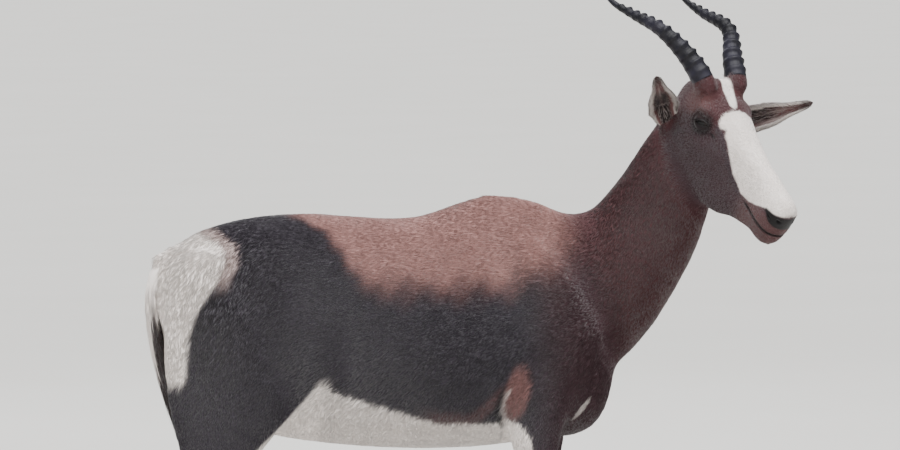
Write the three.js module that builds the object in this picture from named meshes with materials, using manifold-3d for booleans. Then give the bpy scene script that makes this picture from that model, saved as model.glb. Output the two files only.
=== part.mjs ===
// A bontebok standing still, at life size: millimetres, Z up, facing +X, its left side at +Y.
import * as THREE from 'three';
import { ParametricGeometry } from 'three/addons/geometries/ParametricGeometry.js';
import { mergeVertices } from 'three/addons/utils/BufferGeometryUtils.js';
import Module from 'manifold-3d';

const wasm = await Module();
wasm.setup();

// Driving dimensions
const GAP = 0.3;
const STEP_AHEAD = 45;
const BETWEEN_EYES = new THREE.Vector3(557, -149, 969);
const HEAD_TURN = THREE.MathUtils.degToRad(-62);
const HEAD_NOD = THREE.MathUtils.degToRad(42);
const EYE_RADIUS = 17.5;
const EYE_AT = new THREE.Vector3(0, 38, 20);
const EYE_SLANT = THREE.MathUtils.degToRad(26);
const EYE_FACING = new THREE.Vector3(0.3, 0.94, 0.16).normalize();
const LID = 3;
const EAR_LENGTH = 174;
const EAR_WALL = 2.8;
const EAR_BOW = 12;
const HORN_AT = new THREE.Vector3(-35, 32, 56);
const BROW_RIDGE = { size: [20, 30, 24], at: [-46, 0, 47] };
const HORN_RADIUS = 18;
const HORN_RINGS = 13;
const RING_HEIGHT = 2.6;
const HAIRLINE = 0.17;
const RINGS_END = 0.79;
const HOOF_LENGTH = 67;
const HOOF_WIDTH = 26;
const CORONET_HEIGHT = 30;
const CORONET_SLOPE = 0.36;
const DEWCLAW_HEIGHT = 84;
const KNEE_HEIGHT = 328;
const HOCK_HEIGHT = 352;
const CROTCH_HEIGHT = 520;
const TAIL_LOCKS = 13;

// Cuts across the neck: one behind the skull, one in front of the shoulders
const NAPE = new THREE.Vector3(505, -60, 1015);
const THROAT = new THREE.Vector3(556, -100, 850);
const ACROSS_NAPE = new THREE.Vector3(0.83, 0.55, 0);
const NECK_BASE = new THREE.Vector3(337, 0, 819);
const NECK_BASE_FACING = new THREE.Vector3(264, 0, 88);

// Body outline: place along X, back line, belly line, widest height, half width, roundness of the back
const TORSO = [
  [-385, 722, 640, 685, 22, 2.0],
  [-372, 748, 590, 686, 58, 2.0],
  [-340, 780, 520, 672, 94, 2.1],
  [-280, 808, 472, 660, 116, 2.1],
  [-200, 823, 448, 650, 126, 2.1],
  [-110, 826, 432, 630, 135, 2.1],
  [0, 817, 421, 610, 148, 2.1],
  [70, 819, 418, 600, 150, 2.0],
  [130, 838, 418, 595, 143, 1.85],
  [190, 855, 420, 590, 130, 1.7],
  [260, 846, 428, 600, 117, 1.75],
  [320, 822, 432, 610, 104, 1.9],
  [365, 790, 444, 612, 86, 2.0],
  [394, 740, 478, 618, 62, 2.0],
  [414, 660, 545, 620, 24, 2.0],
];

// Neck: place, then the crest point, the throat point and the half width
const NECK = [
  [0, 264, 0, 836, 366, 0, 520, 88],
  [1, 337, 0, 819, 422, -4, 560, 93],
  [2, 363, -6, 824, 481, -22, 629, 86],
  [3, 379, -20, 836, 537, -52, 738, 72],
  [4, 417, -42, 888, 553, -82, 802, 62],
  [5, 454, -56, 948, 566, -98, 862, 56],
  [6, 482, -56, 983, 556, -115, 915, 52],
  [7, 508, -52, 1016, 544, -120, 946, 45],
];

// Head, from the poll to the nose: place, forehead line, jaw line, widest height, half width
const HEAD = [
  [-106, 14, -18, 2, 2],
  [-97, 26, -42, 2, 18],
  [-78, 40, -70, 0, 36],
  [-45, 56, -96, 0, 49],
  [-10, 64, -110, 3, 50],
  [25, 60, -117, 2, 48],
  [65, 51, -113, 0, 42],
  [100, 46, -102, -5, 36],
  [128, 43, -82, -6, 32],
  [155, 41, -71, -7, 30],
  [185, 38, -60, -8, 30],
  [212, 34, -58, -8, 28],
  [224, 26, -52, -8, 22],
  [231, 13, -37, -6, 10],
];

// Legs from the ground up: height, back edge, front edge, inner face, outer face
const FORELEG = [
  [30, 258, 306, 62, 92],
  [48, 254, 298, 61, 92],
  [72, 246, 290, 62, 90],
  [98, 240, 286, 60, 92],
  [125, 250, 281, 63, 89],
  [200, 251, 279, 64, 88],
  [250, 247, 284, 60, 92],
  [285, 243, 291, 56, 97],
  [315, 241, 290, 56, 97],
  [350, 232, 287, 54, 98],
  [414, 217, 297, 48, 103],
  [470, 206, 312, 40, 108],
  [510, 196, 330, 30, 112],
  [570, 172, 372, 20, 120],
  [620, 160, 384, 15, 126],
  [700, 158, 350, 12, 118],
  [760, 168, 300, 12, 92],
  [810, 180, 250, 10, 58],
];
const HINDLEG = [
  [30, -326, -280, 58, 88],
  [48, -330, -288, 57, 88],
  [72, -345, -303, 58, 86],
  [98, -356, -313, 56, 88],
  [125, -352, -320, 59, 85],
  [200, -351, -322, 60, 84],
  [262, -357, -321, 58, 86],
  [300, -370, -312, 54, 90],
  [330, -378, -306, 52, 93],
  [360, -374, -296, 50, 96],
  [414, -357, -233, 44, 104],
  [480, -375, -168, 32, 114],
  [526, -382, -128, 22, 120],
  [600, -388, -140, 12, 127],
  [660, -384, -185, 12, 128],
  [720, -368, -230, 20, 112],
  [770, -340, -260, 40, 88],
];

// Swellings and hollows: centre, push, reach; both sides alike
const TORSO_SWELLS = [
  [[-215, 105, 770], [0, 5, 6], 38],
  [[-165, 125, 705], [0, -9, 0], 60],
];
const HEAD_SWELLS = [
  [[0, 48, 36], [0, 3, 3], 26],
  [[-5, 46, -40], [0, 6, 0], 34],
  [[60, 40, -12], [0, 3, 0], 24],
  [[120, 36, 6], [0, -3, 0], 28],
  [[190, 33, -20], [0, 3, -2], 18],
  [[200, 0, -46], [0, 0, -4], 20],
  [[218, 26, 12], [2, 4, 2], 15],
  [[-42, 44, 46], [-2, 6, 5], 32],
];

// Horn line from its hairline point: behind, above and outward; it starts inside the skull
const HORN_LINE = [
  [4, -28, -8],
  [0, 0, 0],
  [56, 23, 17],
  [119, 32, 44],
  [188, 5, 48],
  [240, -12, 53],
  [285, -12, 50],
  [318, 0, 44],
];

// Ears, each held its own way: root, direction of the tip and direction the cup faces
const EARS = {
  left: { at: [-45, 52, -41], lie: [0.3, 0.775, 0.61], open: [0.85, -0.35, 0.3] },
  right: { at: [-69, 40, -48], lie: [0.1, 0.66, 0.745], open: [0.95, 0.25, 0] },
};

// Along an ear: place, half width, depth of the cup
const EAR_SHAPE = [
  [0, 13, 12],
  [0.12, 18, 15],
  [0.3, 25, 16],
  [0.5, 25, 14],
  [0.62, 19.5, 11],
  [0.73, 14.5, 8],
  [0.84, 10.5, 5.5],
  [0.93, 7.5, 4],
  [0.98, 4.5, 3],
  [1, 2, 2],
];

const UP = new THREE.Vector3(0, 0, 1);
const DOWN = new THREE.Vector3(0, 0, -1);
const SIDES = { left: 1, right: -1 };
const headFrame = new THREE.Matrix4()
  .makeRotationFromEuler(new THREE.Euler(0, HEAD_NOD, HEAD_TURN, 'ZYX'))
  .setPosition(BETWEEN_EYES);

// A closed solid from a geometry: shared corners are merged and collapsed triangles dropped.
function solid(geometry) {
  geometry.deleteAttribute('normal');
  geometry.deleteAttribute('uv');
  const merged = mergeVertices(geometry, 1e-3);
  const corners = merged.index.array;
  const kept = [];
  for (let i = 0; i < corners.length; i += 3) {
    const [a, b, c] = corners.slice(i, i + 3);
    if (a !== b && b !== c && c !== a) kept.push(a, b, c);
  }
  const vertProperties = merged.attributes.position.array;
  const triVerts = new Uint32Array(kept);
  return new wasm.Manifold(new wasm.Mesh({ numProp: 3, vertProperties, triVerts }));
}

function geometryOf(body) {
  const { vertProperties, triVerts } = body.getMesh();
  const geometry = new THREE.BufferGeometry();
  geometry.setAttribute('position', new THREE.BufferAttribute(vertProperties, 3));
  geometry.setIndex(new THREE.BufferAttribute(triVerts, 1));
  geometry.computeVertexNormals();
  return geometry;
}

// The same body with each face moved outward, which leaves a thin gap round whatever it cuts.
function grown(body, by = GAP) {
  const geometry = geometryOf(body);
  const { position } = geometry.attributes;
  const corner = [0, 1, 2].map(() => new THREE.Vector3());
  const facing = Array.from({ length: position.count }, () => []);
  for (let i = 0; i < geometry.index.count; i += 3) {
    const at = [0, 1, 2].map((k) => geometry.index.getX(i + k));
    at.forEach((vertex, k) => corner[k].fromBufferAttribute(position, vertex));
    const normal = new THREE.Triangle(...corner).getNormal(new THREE.Vector3());
    for (const vertex of at) {
      if (!facing[vertex].some((known) => known.dot(normal) > 0.999)) facing[vertex].push(normal);
    }
  }
  facing.forEach((normals, i) => {
    const mean = new THREE.Vector3();
    for (const normal of normals) mean.addScaledVector(normal, 1 / normals.length);
    const move = mean.multiplyScalar(by / Math.max(mean.lengthSq(), 0.2));
    move.add(new THREE.Vector3().fromBufferAttribute(position, i));
    position.setXYZ(i, move.x, move.y, move.z);
  });
  return solid(geometry);
}

function largest(body) {
  const pieces = body.decompose();
  return pieces.reduce((best, piece) => (piece.volume() > best.volume() ? piece : best));
}

// Splits a body into what lies in a region and what lies out of it, with the gap between.
function parted(body, region) {
  return [largest(body.intersect(region)), largest(body.subtract(grown(region)))];
}

// Everything on one side of a plane through a point
function beyond(point, direction) {
  const size = 3000;
  const box = new THREE.BoxGeometry(size, size, size);
  box.translate(0, 0, size / 2);
  box.applyQuaternion(new THREE.Quaternion().setFromUnitVectors(UP, direction.clone().normalize()));
  box.translate(point.x, point.y, point.z);
  return solid(box);
}

// Reads a table: its first column is a place, and the others blend smoothly between rows.
function reader(table) {
  const places = table.map((row) => row[0]);
  const values = table.flatMap((row) => row.slice(1));
  const width = table[0].length - 1;
  const curve = new THREE.CubicInterpolant(places, values, width, new Float32Array(width));
  return (place) => [...curve.evaluate(place)];
}

// The places of a table's rows, with each interval cut into equal parts
function rungs(table, parts) {
  const places = [table[0][0]];
  for (let i = 1; i < table.length; i += 1) {
    const [from, to] = [table[i - 1][0], table[i][0]];
    for (let part = 1; part <= parts; part += 1) places.push(from + ((to - from) * part) / parts);
  }
  return places;
}

function evenly(count) {
  return Array.from({ length: count + 1 }, (_, i) => i / count);
}

// A closed loft of rings; ring(place, angle, out) gives a point, with out 0 at the ring's middle.
function loft(places, sides, ring) {
  const rows = places.length + 1;
  const at = (around, row, target) => {
    const index = Math.round(row * rows);
    const place = places[THREE.MathUtils.clamp(index - 1, 0, places.length - 1)];
    const out = index === 0 || index === rows ? 0 : 1;
    target.copy(ring(place, around * 2 * Math.PI, out));
  };
  return solid(new ParametricGeometry(at, sides, rows));
}

// A loft along a curve; size(place, angle) gives the half sizes across and deep.
function tube(curve, places, sides, across, size) {
  return loft(places, sides, (place, angle, out) => {
    const along = curve.getTangentAt(place);
    const deep = along.clone().cross(across).normalize();
    const side = deep.clone().cross(along);
    const [halfAcross, halfDeep] = size(place, angle);
    return curve.getPointAt(place)
      .addScaledVector(side, out * halfAcross * Math.cos(angle))
      .addScaledVector(deep, out * halfDeep * Math.sin(angle));
  });
}

// Cosine or sine of a ring, squared off above a roundness of 2 and pointed below it
function shaped(value, roundness) {
  return Math.sign(value) * Math.abs(value) ** (2 / roundness);
}

function swollen(point, swells) {
  const side = Math.sign(point.y) || 1;
  const folded = new THREE.Vector3(point.x, Math.abs(point.y), point.z);
  for (const [centre, push, reach] of swells) {
    const near = Math.exp(-folded.distanceToSquared(new THREE.Vector3(...centre)) / reach ** 2);
    point.add(new THREE.Vector3(push[0], side * push[1], push[2]).multiplyScalar(near));
  }
  return point;
}

function ellipsoid(size, centre, turn = new THREE.Euler(), rows = 8) {
  const ball = new THREE.SphereGeometry(1, 1.5 * rows, rows);
  ball.rotateX(Math.PI / 2);
  ball.scale(...size);
  ball.applyQuaternion(new THREE.Quaternion().setFromEuler(turn));
  ball.translate(...centre);
  return ball;
}

function makeTorso() {
  const at = reader(TORSO);
  return loft(rungs(TORSO, 2), 22, (x, angle, out) => {
    const [back, belly, widest, half, crest] = at(x);
    const rise = Math.sin(angle);
    const reach = rise > 0 ? back - widest : widest - belly;
    const roundness = rise > 0 ? crest : 2.2;
    const y = out * half * shaped(Math.cos(angle), roundness);
    const z = widest + out * reach * shaped(rise, roundness);
    return swollen(new THREE.Vector3(x, y, z), TORSO_SWELLS);
  });
}

function makeNeck() {
  const at = reader(NECK);
  const middle = (place) => {
    const [ax, ay, az, bx, by, bz] = at(place);
    return new THREE.Vector3(ax + bx, ay + by, az + bz).multiplyScalar(0.5);
  };
  return loft(rungs(NECK, 2), 20, (place, angle, out) => {
    const [ax, ay, az, bx, by, bz, half] = at(place);
    const depth = new THREE.Vector3(ax - bx, ay - by, az - bz).multiplyScalar(0.5);
    const along = middle(place + 0.1).sub(middle(place - 0.1));
    const side = depth.clone().cross(along).normalize();
    return middle(place)
      .addScaledVector(side, out * half * Math.cos(angle))
      .addScaledVector(depth, out * Math.sin(angle));
  });
}

function makeSkull() {
  const at = reader(HEAD);
  return loft(rungs(HEAD, 2), 22, (x, angle, out) => {
    const [forehead, jaw, widest, half] = at(x);
    const rise = Math.sin(angle);
    const reach = rise > 0 ? forehead - widest : widest - jaw;
    const y = out * half * shaped(Math.cos(angle), 2.2);
    const z = widest + out * reach * shaped(rise, 2.2);
    return swollen(new THREE.Vector3(x, y, z), HEAD_SWELLS);
  });
}

// One leg; the left pair stands a little ahead of the right pair.
function makeLeg(table, side) {
  const at = reader(table);
  return loft(rungs(table, 1), 12, (z, angle, out) => {
    const [back, front, inner, outer] = at(z);
    const ahead = side > 0 ? STEP_AHEAD * THREE.MathUtils.smoothstep(620 - z, 0, 200) : 0;
    const x = (back + front) / 2 + (out * (front - back) * shaped(Math.cos(angle), 2.1)) / 2;
    const y = side * (inner + outer) + out * (outer - inner) * shaped(Math.sin(angle), 2.1);
    return new THREE.Vector3(x + ahead, y / 2, z);
  });
}

// One claw of a hoof: a flat sole, a sloping front wall and a blunt toe turned towards its partner
function makeClaw(heel, y, inward) {
  const heights = [0, 12, 26, 40, 60];
  return loft(heights, 10, (z, angle, out) => {
    const back = heel - 0.12 * z;
    const front = heel + HOOF_LENGTH - 0.65 * z;
    const half = (HOOF_WIDTH / 2) * (1 - 0.0025 * z) - 0.6;
    const ahead = Math.cos(angle);
    const x = (back + front) / 2 + (out * (front - back) * ahead) / 2;
    const narrowed = 1 - 0.3 * Math.max(0, ahead);
    const toeIn = inward * 3.5 * Math.max(0, ahead) ** 2;
    return new THREE.Vector3(x, y + out * (half * Math.sin(angle) * narrowed + toeIn), z);
  });
}

function eyeball(side, radius) {
  return solid(ellipsoid([radius, radius, radius], [EYE_AT.x, side * EYE_AT.y, EYE_AT.z]));
}

// The almond opening between the lids, as a prism along the eye's own axis
function eyeOpening(side) {
  const width = 16.5;
  const height = 10;
  const almond = new THREE.Shape();
  almond.moveTo(-width, -1);
  almond.quadraticCurveTo(-2, 2 * height, width, 2);
  almond.quadraticCurveTo(2, -1.7 * height, -width, -1);
  const prism = new THREE.ExtrudeGeometry(almond, { depth: 40, bevelEnabled: false, curveSegments: 6 });
  const out = EYE_FACING.clone().multiply(new THREE.Vector3(1, side, 1));
  const along = new THREE.Vector3(1, 0, 0).projectOnPlane(out).normalize();
  const up = out.clone().cross(along);
  up.multiplyScalar(Math.sign(up.z));
  const forward = along.clone().multiplyScalar(Math.cos(EYE_SLANT)).addScaledVector(up, Math.sin(EYE_SLANT));
  up.multiplyScalar(Math.cos(EYE_SLANT)).addScaledVector(along, -Math.sin(EYE_SLANT));
  const frame = new THREE.Matrix4().makeBasis(forward, up, out);
  prism.applyMatrix4(frame.setPosition(EYE_AT.x, side * EYE_AT.y, EYE_AT.z));
  if (frame.determinant() < 0) flip(prism);
  return solid(prism);
}

// Turns the triangles of a mirrored geometry over.
function flip(geometry) {
  const { array } = geometry.attributes.position;
  for (let i = 0; i < array.length; i += 9) {
    for (let k = 0; k < 3; k += 1) [array[i + k], array[i + 6 + k]] = [array[i + 6 + k], array[i + k]];
  }
}

// The line of the mouth: a thin U-shaped plate that follows the muzzle and stops short of its middle
function mouthLine() {
  const lips = new THREE.Shape();
  lips.moveTo(150, 60);
  lips.lineTo(260, 60);
  lips.lineTo(260, -60);
  lips.lineTo(150, -60);
  lips.lineTo(150, -25);
  lips.quadraticCurveTo(228, -27, 229, 0);
  lips.quadraticCurveTo(228, 27, 150, 25);
  const plate = new THREE.ExtrudeGeometry(lips, { depth: 2.2, bevelEnabled: false, curveSegments: 5 });
  plate.rotateY(THREE.MathUtils.degToRad(4));
  plate.translate(0, 0, -10);
  return solid(plate);
}

function nostril(side) {
  const turn = new THREE.Euler(side * 0.4, 0.5, side * 0.7);
  return solid(ellipsoid([10, 4, 7], [219, side * 20, 7], turn, 6));
}

function hornCurve(side) {
  const points = HORN_LINE.map(([behind, above, outward]) => (
    new THREE.Vector3(HORN_AT.x - behind, side * (HORN_AT.y + outward), HORN_AT.z + above)
  ));
  return new THREE.CatmullRomCurve3(points, false, 'centripetal');
}

function hornRadius(place) {
  return HORN_RADIUS * (1 - Math.max(place - HAIRLINE, 0)) ** 1.65 * Math.min(1, 7 * (1 - place)) + 1;
}

// A horn with raised rings, strongest on the front and gone towards the smooth tip
function makeHorn(side) {
  const from = HAIRLINE - 0.02;
  const ringed = RINGS_END - from;
  const places = evenly(HORN_RINGS * 3).map((part) => from + part * ringed);
  for (const part of evenly(5).slice(1)) places.push(RINGS_END + (1 - RINGS_END) * part);
  return tube(hornCurve(side), places, 9, new THREE.Vector3(0, 1, 0), (place, angle) => {
    const wave = (1 - Math.cos((2 * Math.PI * HORN_RINGS * (place - from)) / ringed)) / 2;
    const front = 0.55 - 0.45 * Math.sin(angle);
    const fading = THREE.MathUtils.smoothstep(RINGS_END - place, -0.02, 0.2);
    const shown = place > HAIRLINE && place < RINGS_END;
    const ridge = shown ? RING_HEIGHT * wave * front * fading : 0;
    const radius = hornRadius(place);
    return [0.94 * radius + ridge, 1.04 * radius + ridge];
  });
}

// The haired stump that each horn grows from
function makePedicle(side) {
  const radii = reader([[0, 19], [0.05, 19.5], [0.1, 20], [HAIRLINE, 20]]);
  return tube(hornCurve(side), [0, 0.05, 0.1, HAIRLINE], 14, new THREE.Vector3(0, 1, 0), (place) => {
    const [radius] = radii(place);
    return [0.94 * radius, 1.04 * radius];
  });
}

// An ear: solid at the root, then a leaf-shaped cup that opens on one side. With room it is the
// filled and slightly larger form that makes way for an ear.
function makeEar(side, { at, lie, open }, room = 0) {
  const widths = reader(EAR_SHAPE);
  const sided = ([x, y, z]) => new THREE.Vector3(x, side * y, z);
  const along = sided(lie).normalize();
  const root = sided(at).addScaledVector(along, -room);
  const mouth = sided(open).projectOnPlane(along).normalize();
  const middle = root.clone().addScaledVector(along, 0.5 * EAR_LENGTH).addScaledVector(mouth, EAR_BOW);
  const tip = root.clone().addScaledVector(along, EAR_LENGTH);
  const line = new THREE.QuadraticBezierCurve3(root, middle, tip);
  return loft(evenly(13), 16, (place, angle, out) => {
    const [half, deep] = widths(place);
    const tangent = line.getTangentAt(place);
    const inward = mouth.clone().projectOnPlane(tangent).normalize();
    const sideways = inward.clone().cross(tangent);
    const fromRoot = THREE.MathUtils.smoothstep(place, 0.08, 0.3);
    const opened = room > 0 ? 0 : fromRoot * THREE.MathUtils.smoothstep(1 - place, 0, 0.1);
    const rise = Math.sin(angle);
    const cup = EAR_WALL * Math.max(rise, 0) ** 0.6 - deep * rise;
    const depth = rise > 0 ? THREE.MathUtils.lerp(0.6 * deep * rise, cup, opened) : deep * rise;
    return line.getPointAt(place)
      .addScaledVector(sideways, out * (half + room) * Math.cos(angle))
      .addScaledVector(inward, out * (depth + room * rise));
  });
}

// Repeatable scatter between 0 and 1
function scatter(seed) {
  let state = seed;
  return () => {
    state = (state * 1664525 + 1013904223) % 4294967296;
    return state / 4294967296;
  };
}

const TAIL_LINE = new THREE.CatmullRomCurve3([
  new THREE.Vector3(-362, 0, 754),
  new THREE.Vector3(-389, -4, 722),
  new THREE.Vector3(-396, -7, 660),
  new THREE.Vector3(-391, -8, 605),
  new THREE.Vector3(-375, -8, 545),
]);

// The tail: a tapering dock, and flat locks that overlap down its end as a tuft
function makeTail() {
  const sideways = new THREE.Vector3(0, 1, 0);
  const sizes = reader([[0, 22, 15], [0.25, 19, 12], [0.6, 13, 9], [0.9, 9, 7], [1, 4, 3]]);
  let tail = tube(TAIL_LINE, evenly(9), 10, sideways, (place) => sizes(place));
  const random = scatter(11);
  for (let i = 0; i < TAIL_LOCKS; i += 1) {
    const place = 0.5 + (0.48 * i) / (TAIL_LOCKS - 1);
    const turn = i * 2.4;
    const root = TAIL_LINE.getPointAt(place);
    const spread = 5 + 4 * random();
    const length = 95 + 45 * random();
    const away = new THREE.Vector3(-Math.abs(Math.cos(turn)), Math.sin(turn), 0);
    const bend = root.clone().addScaledVector(away, spread + 3).addScaledVector(DOWN, 0.45 * length);
    bend.x += 0.1 * length;
    const tip = root.clone().addScaledVector(away, 0.4 * spread);
    tip.add(new THREE.Vector3(0.33 * length, -4 - 4 * random(), -length));
    const line = new THREE.QuadraticBezierCurve3(root, bend, tip);
    const flat = new THREE.Vector3(-away.y, away.x, 0);
    const width = 7 + 2 * random();
    tail = tail.add(tube(line, [0, 0.4, 0.75, 1], 5, flat, (along) => {
      const taper = Math.sin(Math.PI * Math.min(0.25 + 0.72 * along, 0.97)) ** 0.8;
      return [width * taper, 3 * taper];
    }));
  }
  return largest(tail);
}

// Side-view regions that part the legs from the body
function prism(outline, inner, side) {
  const reach = 260;
  const region = new THREE.ExtrudeGeometry(outline, { depth: reach, bevelEnabled: false });
  region.rotateX(Math.PI / 2);
  region.translate(0, side > 0 ? inner + reach : -inner, 0);
  return solid(region);
}

function shoulderOutline() {
  const outline = new THREE.Shape();
  outline.moveTo(140, -20);
  outline.lineTo(140, 600);
  outline.bezierCurveTo(140, 840, 330, 830, 372, 660);
  outline.bezierCurveTo(386, 600, 360, 540, 345, 480);
  outline.lineTo(390, -20);
  outline.closePath();
  return outline;
}

function haunchOutline() {
  const outline = new THREE.Shape();
  outline.moveTo(-440, -20);
  outline.lineTo(-440, 620);
  outline.bezierCurveTo(-400, 780, -300, 800, -230, 720);
  outline.bezierCurveTo(-180, 660, -120, 600, -112, 530);
  outline.lineTo(-160, 470);
  outline.lineTo(-195, 400);
  outline.lineTo(-200, -20);
  outline.closePath();
  return outline;
}

// The whole flesh is joined first and then parted with thin cuts.
const horns = {};
const ears = {};
const eyes = {};
let head = makeSkull().add(solid(ellipsoid(BROW_RIDGE.size, BROW_RIDGE.at)));
for (const [name, side] of Object.entries(SIDES)) {
  eyes[name] = eyeball(side, EYE_RADIUS);
  head = head.add(eyeball(side, EYE_RADIUS + LID)).add(makePedicle(side));
  head = head.subtract(eyeball(side, EYE_RADIUS + GAP)).subtract(eyeOpening(side));
  head = head.subtract(nostril(side));
  horns[name] = makeHorn(side);
  ears[name] = makeEar(side, EARS[name]);
}
head = largest(head.subtract(mouthLine()));

let flesh = head.transform(headFrame.elements).add(makeTorso()).add(makeNeck());
for (const side of Object.values(SIDES)) {
  flesh = flesh.add(makeLeg(FORELEG, side)).add(makeLeg(HINDLEG, side));
}

const parts = {};
const headFacing = THROAT.clone().sub(NAPE).cross(ACROSS_NAPE);
[parts.head, flesh] = parted(flesh, beyond(NAPE, headFacing));
[parts.neck, flesh] = parted(flesh, beyond(NECK_BASE, NECK_BASE_FACING));

// Each leg's outline, the inner face of its cut above and below the crotch, joint, heel and table
const LEGS = {
  foreleg: {
    outline: shoulderOutline(), inner: 45, low: 45, joint: KNEE_HEIGHT, heel: 260, table: FORELEG,
  },
  hindleg: {
    outline: haunchOutline(), inner: 42, low: 12, joint: HOCK_HEIGHT, heel: -327, table: HINDLEG,
  },
};

function makeDewclaw(x, y) {
  return solid(ellipsoid([6, 5.5, 10], [x, y, DEWCLAW_HEIGHT], new THREE.Euler(0, 0.5, 0), 6));
}

for (const [kind, { outline, inner, low, joint, heel, table }] of Object.entries(LEGS)) {
  for (const [name, side] of Object.entries(SIDES)) {
    const ahead = side > 0 ? STEP_AHEAD : 0;
    const crotch = new THREE.Vector3(0, 0, CROTCH_HEIGHT);
    const lower = prism(outline, low, side).intersect(beyond(crotch, DOWN));
    let leg;
    [leg, flesh] = parted(flesh, prism(outline, inner, side).add(lower));
    const coronet = new THREE.Vector3(heel + ahead, 0, CORONET_HEIGHT);
    const sole = beyond(coronet, new THREE.Vector3(CORONET_SLOPE, 0, -1));
    leg = largest(leg.subtract(grown(sole)));
    const [, , , inside, outside] = table[1];
    const middle = (side * (inside + outside)) / 2;
    for (const [claw, inward] of [['inner', side], ['outer', -side]]) {
      const y = middle - inward * (HOOF_WIDTH / 2 + 1);
      const whole = makeClaw(heel + ahead, y, inward);
      parts[`hoof_${kind}_${name}_${claw}`] = largest(whole.intersect(sole));
      const dewclaw = makeDewclaw(table[3][1] + ahead + 2, middle - inward * 12);
      parts[`dewclaw_${kind}_${name}_${claw}`] = dewclaw;
      leg = largest(leg.subtract(grown(dewclaw)));
    }
    const shank = beyond(new THREE.Vector3(0, 0, joint), DOWN);
    [parts[`${kind}_lower_${name}`], parts[`${kind}_upper_${name}`]] = parted(leg, shank);
  }
}

parts.tail = makeTail();
parts.torso = largest(flesh.subtract(grown(parts.tail)));
for (const haunch of ['hindleg_upper_left', 'hindleg_upper_right']) {
  parts[haunch] = largest(parts[haunch].subtract(grown(parts.tail)));
}
for (const name of Object.keys(SIDES)) {
  const place = (body) => body.transform(headFrame.elements);
  parts[`horn_${name}`] = place(horns[name]);
  parts[`ear_${name}`] = place(ears[name]);
  parts[`eye_${name}`] = place(eyes[name]);
  const earRoom = place(makeEar(SIDES[name], EARS[name], GAP));
  parts.head = largest(parts.head.subtract(grown(parts[`horn_${name}`])).subtract(earRoom));
  parts.neck = largest(parts.neck.subtract(earRoom));
}

// Colours of the coat, horn and hoof
const LOOKS = {
  torso: { color: 0x7a5450, roughness: 0.75 },
  neck: { color: 0x5a3238, roughness: 0.75 },
  head: { color: 0x433238, roughness: 0.7 },
  ear: { color: 0x8a7268, roughness: 0.8 },
  eye: { color: 0x15100e, roughness: 0.15 },
  horn: { color: 0x3a3640, roughness: 0.5 },
  tail: { color: 0x2f2623, roughness: 0.85 },
  foreleg: { color: 0x4a3431, roughness: 0.75 },
  hindleg: { color: 0x3d3539, roughness: 0.75 },
  hoof: { color: 0x1d1a1a, roughness: 0.45 },
  dewclaw: { color: 0x1d1a1a, roughness: 0.5 },
};

const animal = new THREE.Group();
for (const [name, body] of Object.entries(parts)) {
  const look = { metalness: 0, ...LOOKS[name.split('_')[0]] };
  const mesh = new THREE.Mesh(geometryOf(body), new THREE.MeshStandardMaterial(look));
  mesh.name = name;
  animal.add(mesh);
}
const bounds = new THREE.Box3().setFromObject(animal);
const middle = bounds.getCenter(new THREE.Vector3());
animal.position.set(-middle.x, -middle.y, -bounds.min.z);

export default animal;
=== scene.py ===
"""A life-size bontebok: one skin, a short coat in tufts, ringed horns, eyes, ears, hooves and tail."""
import math

import bmesh
import bpy
import numpy as np
from mathutils import Matrix, Vector
from mathutils.bvhtree import BVHTree


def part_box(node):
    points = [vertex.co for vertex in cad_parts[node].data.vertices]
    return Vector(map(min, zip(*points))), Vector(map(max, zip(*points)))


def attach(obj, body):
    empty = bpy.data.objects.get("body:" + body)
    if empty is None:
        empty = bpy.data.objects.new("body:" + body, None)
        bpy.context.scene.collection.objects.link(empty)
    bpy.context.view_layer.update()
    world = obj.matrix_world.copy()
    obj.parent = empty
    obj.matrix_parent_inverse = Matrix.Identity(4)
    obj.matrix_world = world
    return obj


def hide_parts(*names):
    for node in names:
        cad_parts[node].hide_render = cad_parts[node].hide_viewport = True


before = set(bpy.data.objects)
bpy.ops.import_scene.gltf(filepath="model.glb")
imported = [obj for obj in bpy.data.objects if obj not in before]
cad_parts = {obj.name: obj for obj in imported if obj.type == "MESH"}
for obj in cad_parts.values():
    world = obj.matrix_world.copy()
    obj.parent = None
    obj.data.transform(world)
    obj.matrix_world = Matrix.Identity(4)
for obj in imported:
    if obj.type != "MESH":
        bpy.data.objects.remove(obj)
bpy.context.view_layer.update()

# The animal's own axes: millimetres from the middle of the trunk, X forward, Y left, Z up
torso_low, torso_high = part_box("torso")
TRUNK_REAR = 0.385
ORIGIN = np.array([torso_low.x + TRUNK_REAR, (torso_low.y + torso_high.y) / 2, 0.0])
SIDES = {"left": 1, "right": -1}
COAT_DEPTH = 2.0

# The head's axes: its origin between the eyes, then forward along the nose, left and up
HEAD_AT = np.array([557.0, -149.0, 969.0])
HEAD_TURN = math.radians(-62)
HEAD_NOD = math.radians(42)
NOSE_WARD = np.array([
    math.cos(HEAD_TURN) * math.cos(HEAD_NOD), math.sin(HEAD_TURN) * math.cos(HEAD_NOD), -math.sin(HEAD_NOD),
])
HEAD_LEFT = np.array([-math.sin(HEAD_TURN), math.cos(HEAD_TURN), 0.0])
HEAD_AXES = np.array([NOSE_WARD, HEAD_LEFT, np.cross(NOSE_WARD, HEAD_LEFT)])
EYE_RADIUS = 17.5
EYE_AT = np.array([0.0, 38.0, 20.0])
EYE_SLANT = 26
EYE_FACING = np.array([0.3, 0.94, 0.16]) / np.linalg.norm([0.3, 0.94, 0.16])
NAPE = np.array([505.0, -60.0, 1015.0])
THROAT = np.array([556.0, -100.0, 850.0])
NAPE_FACING = np.cross(THROAT - NAPE, [0.83, 0.55, 0.0])
NAPE_FACING /= np.linalg.norm(NAPE_FACING)
NECK_BASE = np.array([337.0, 0.0, 819.0])
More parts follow.
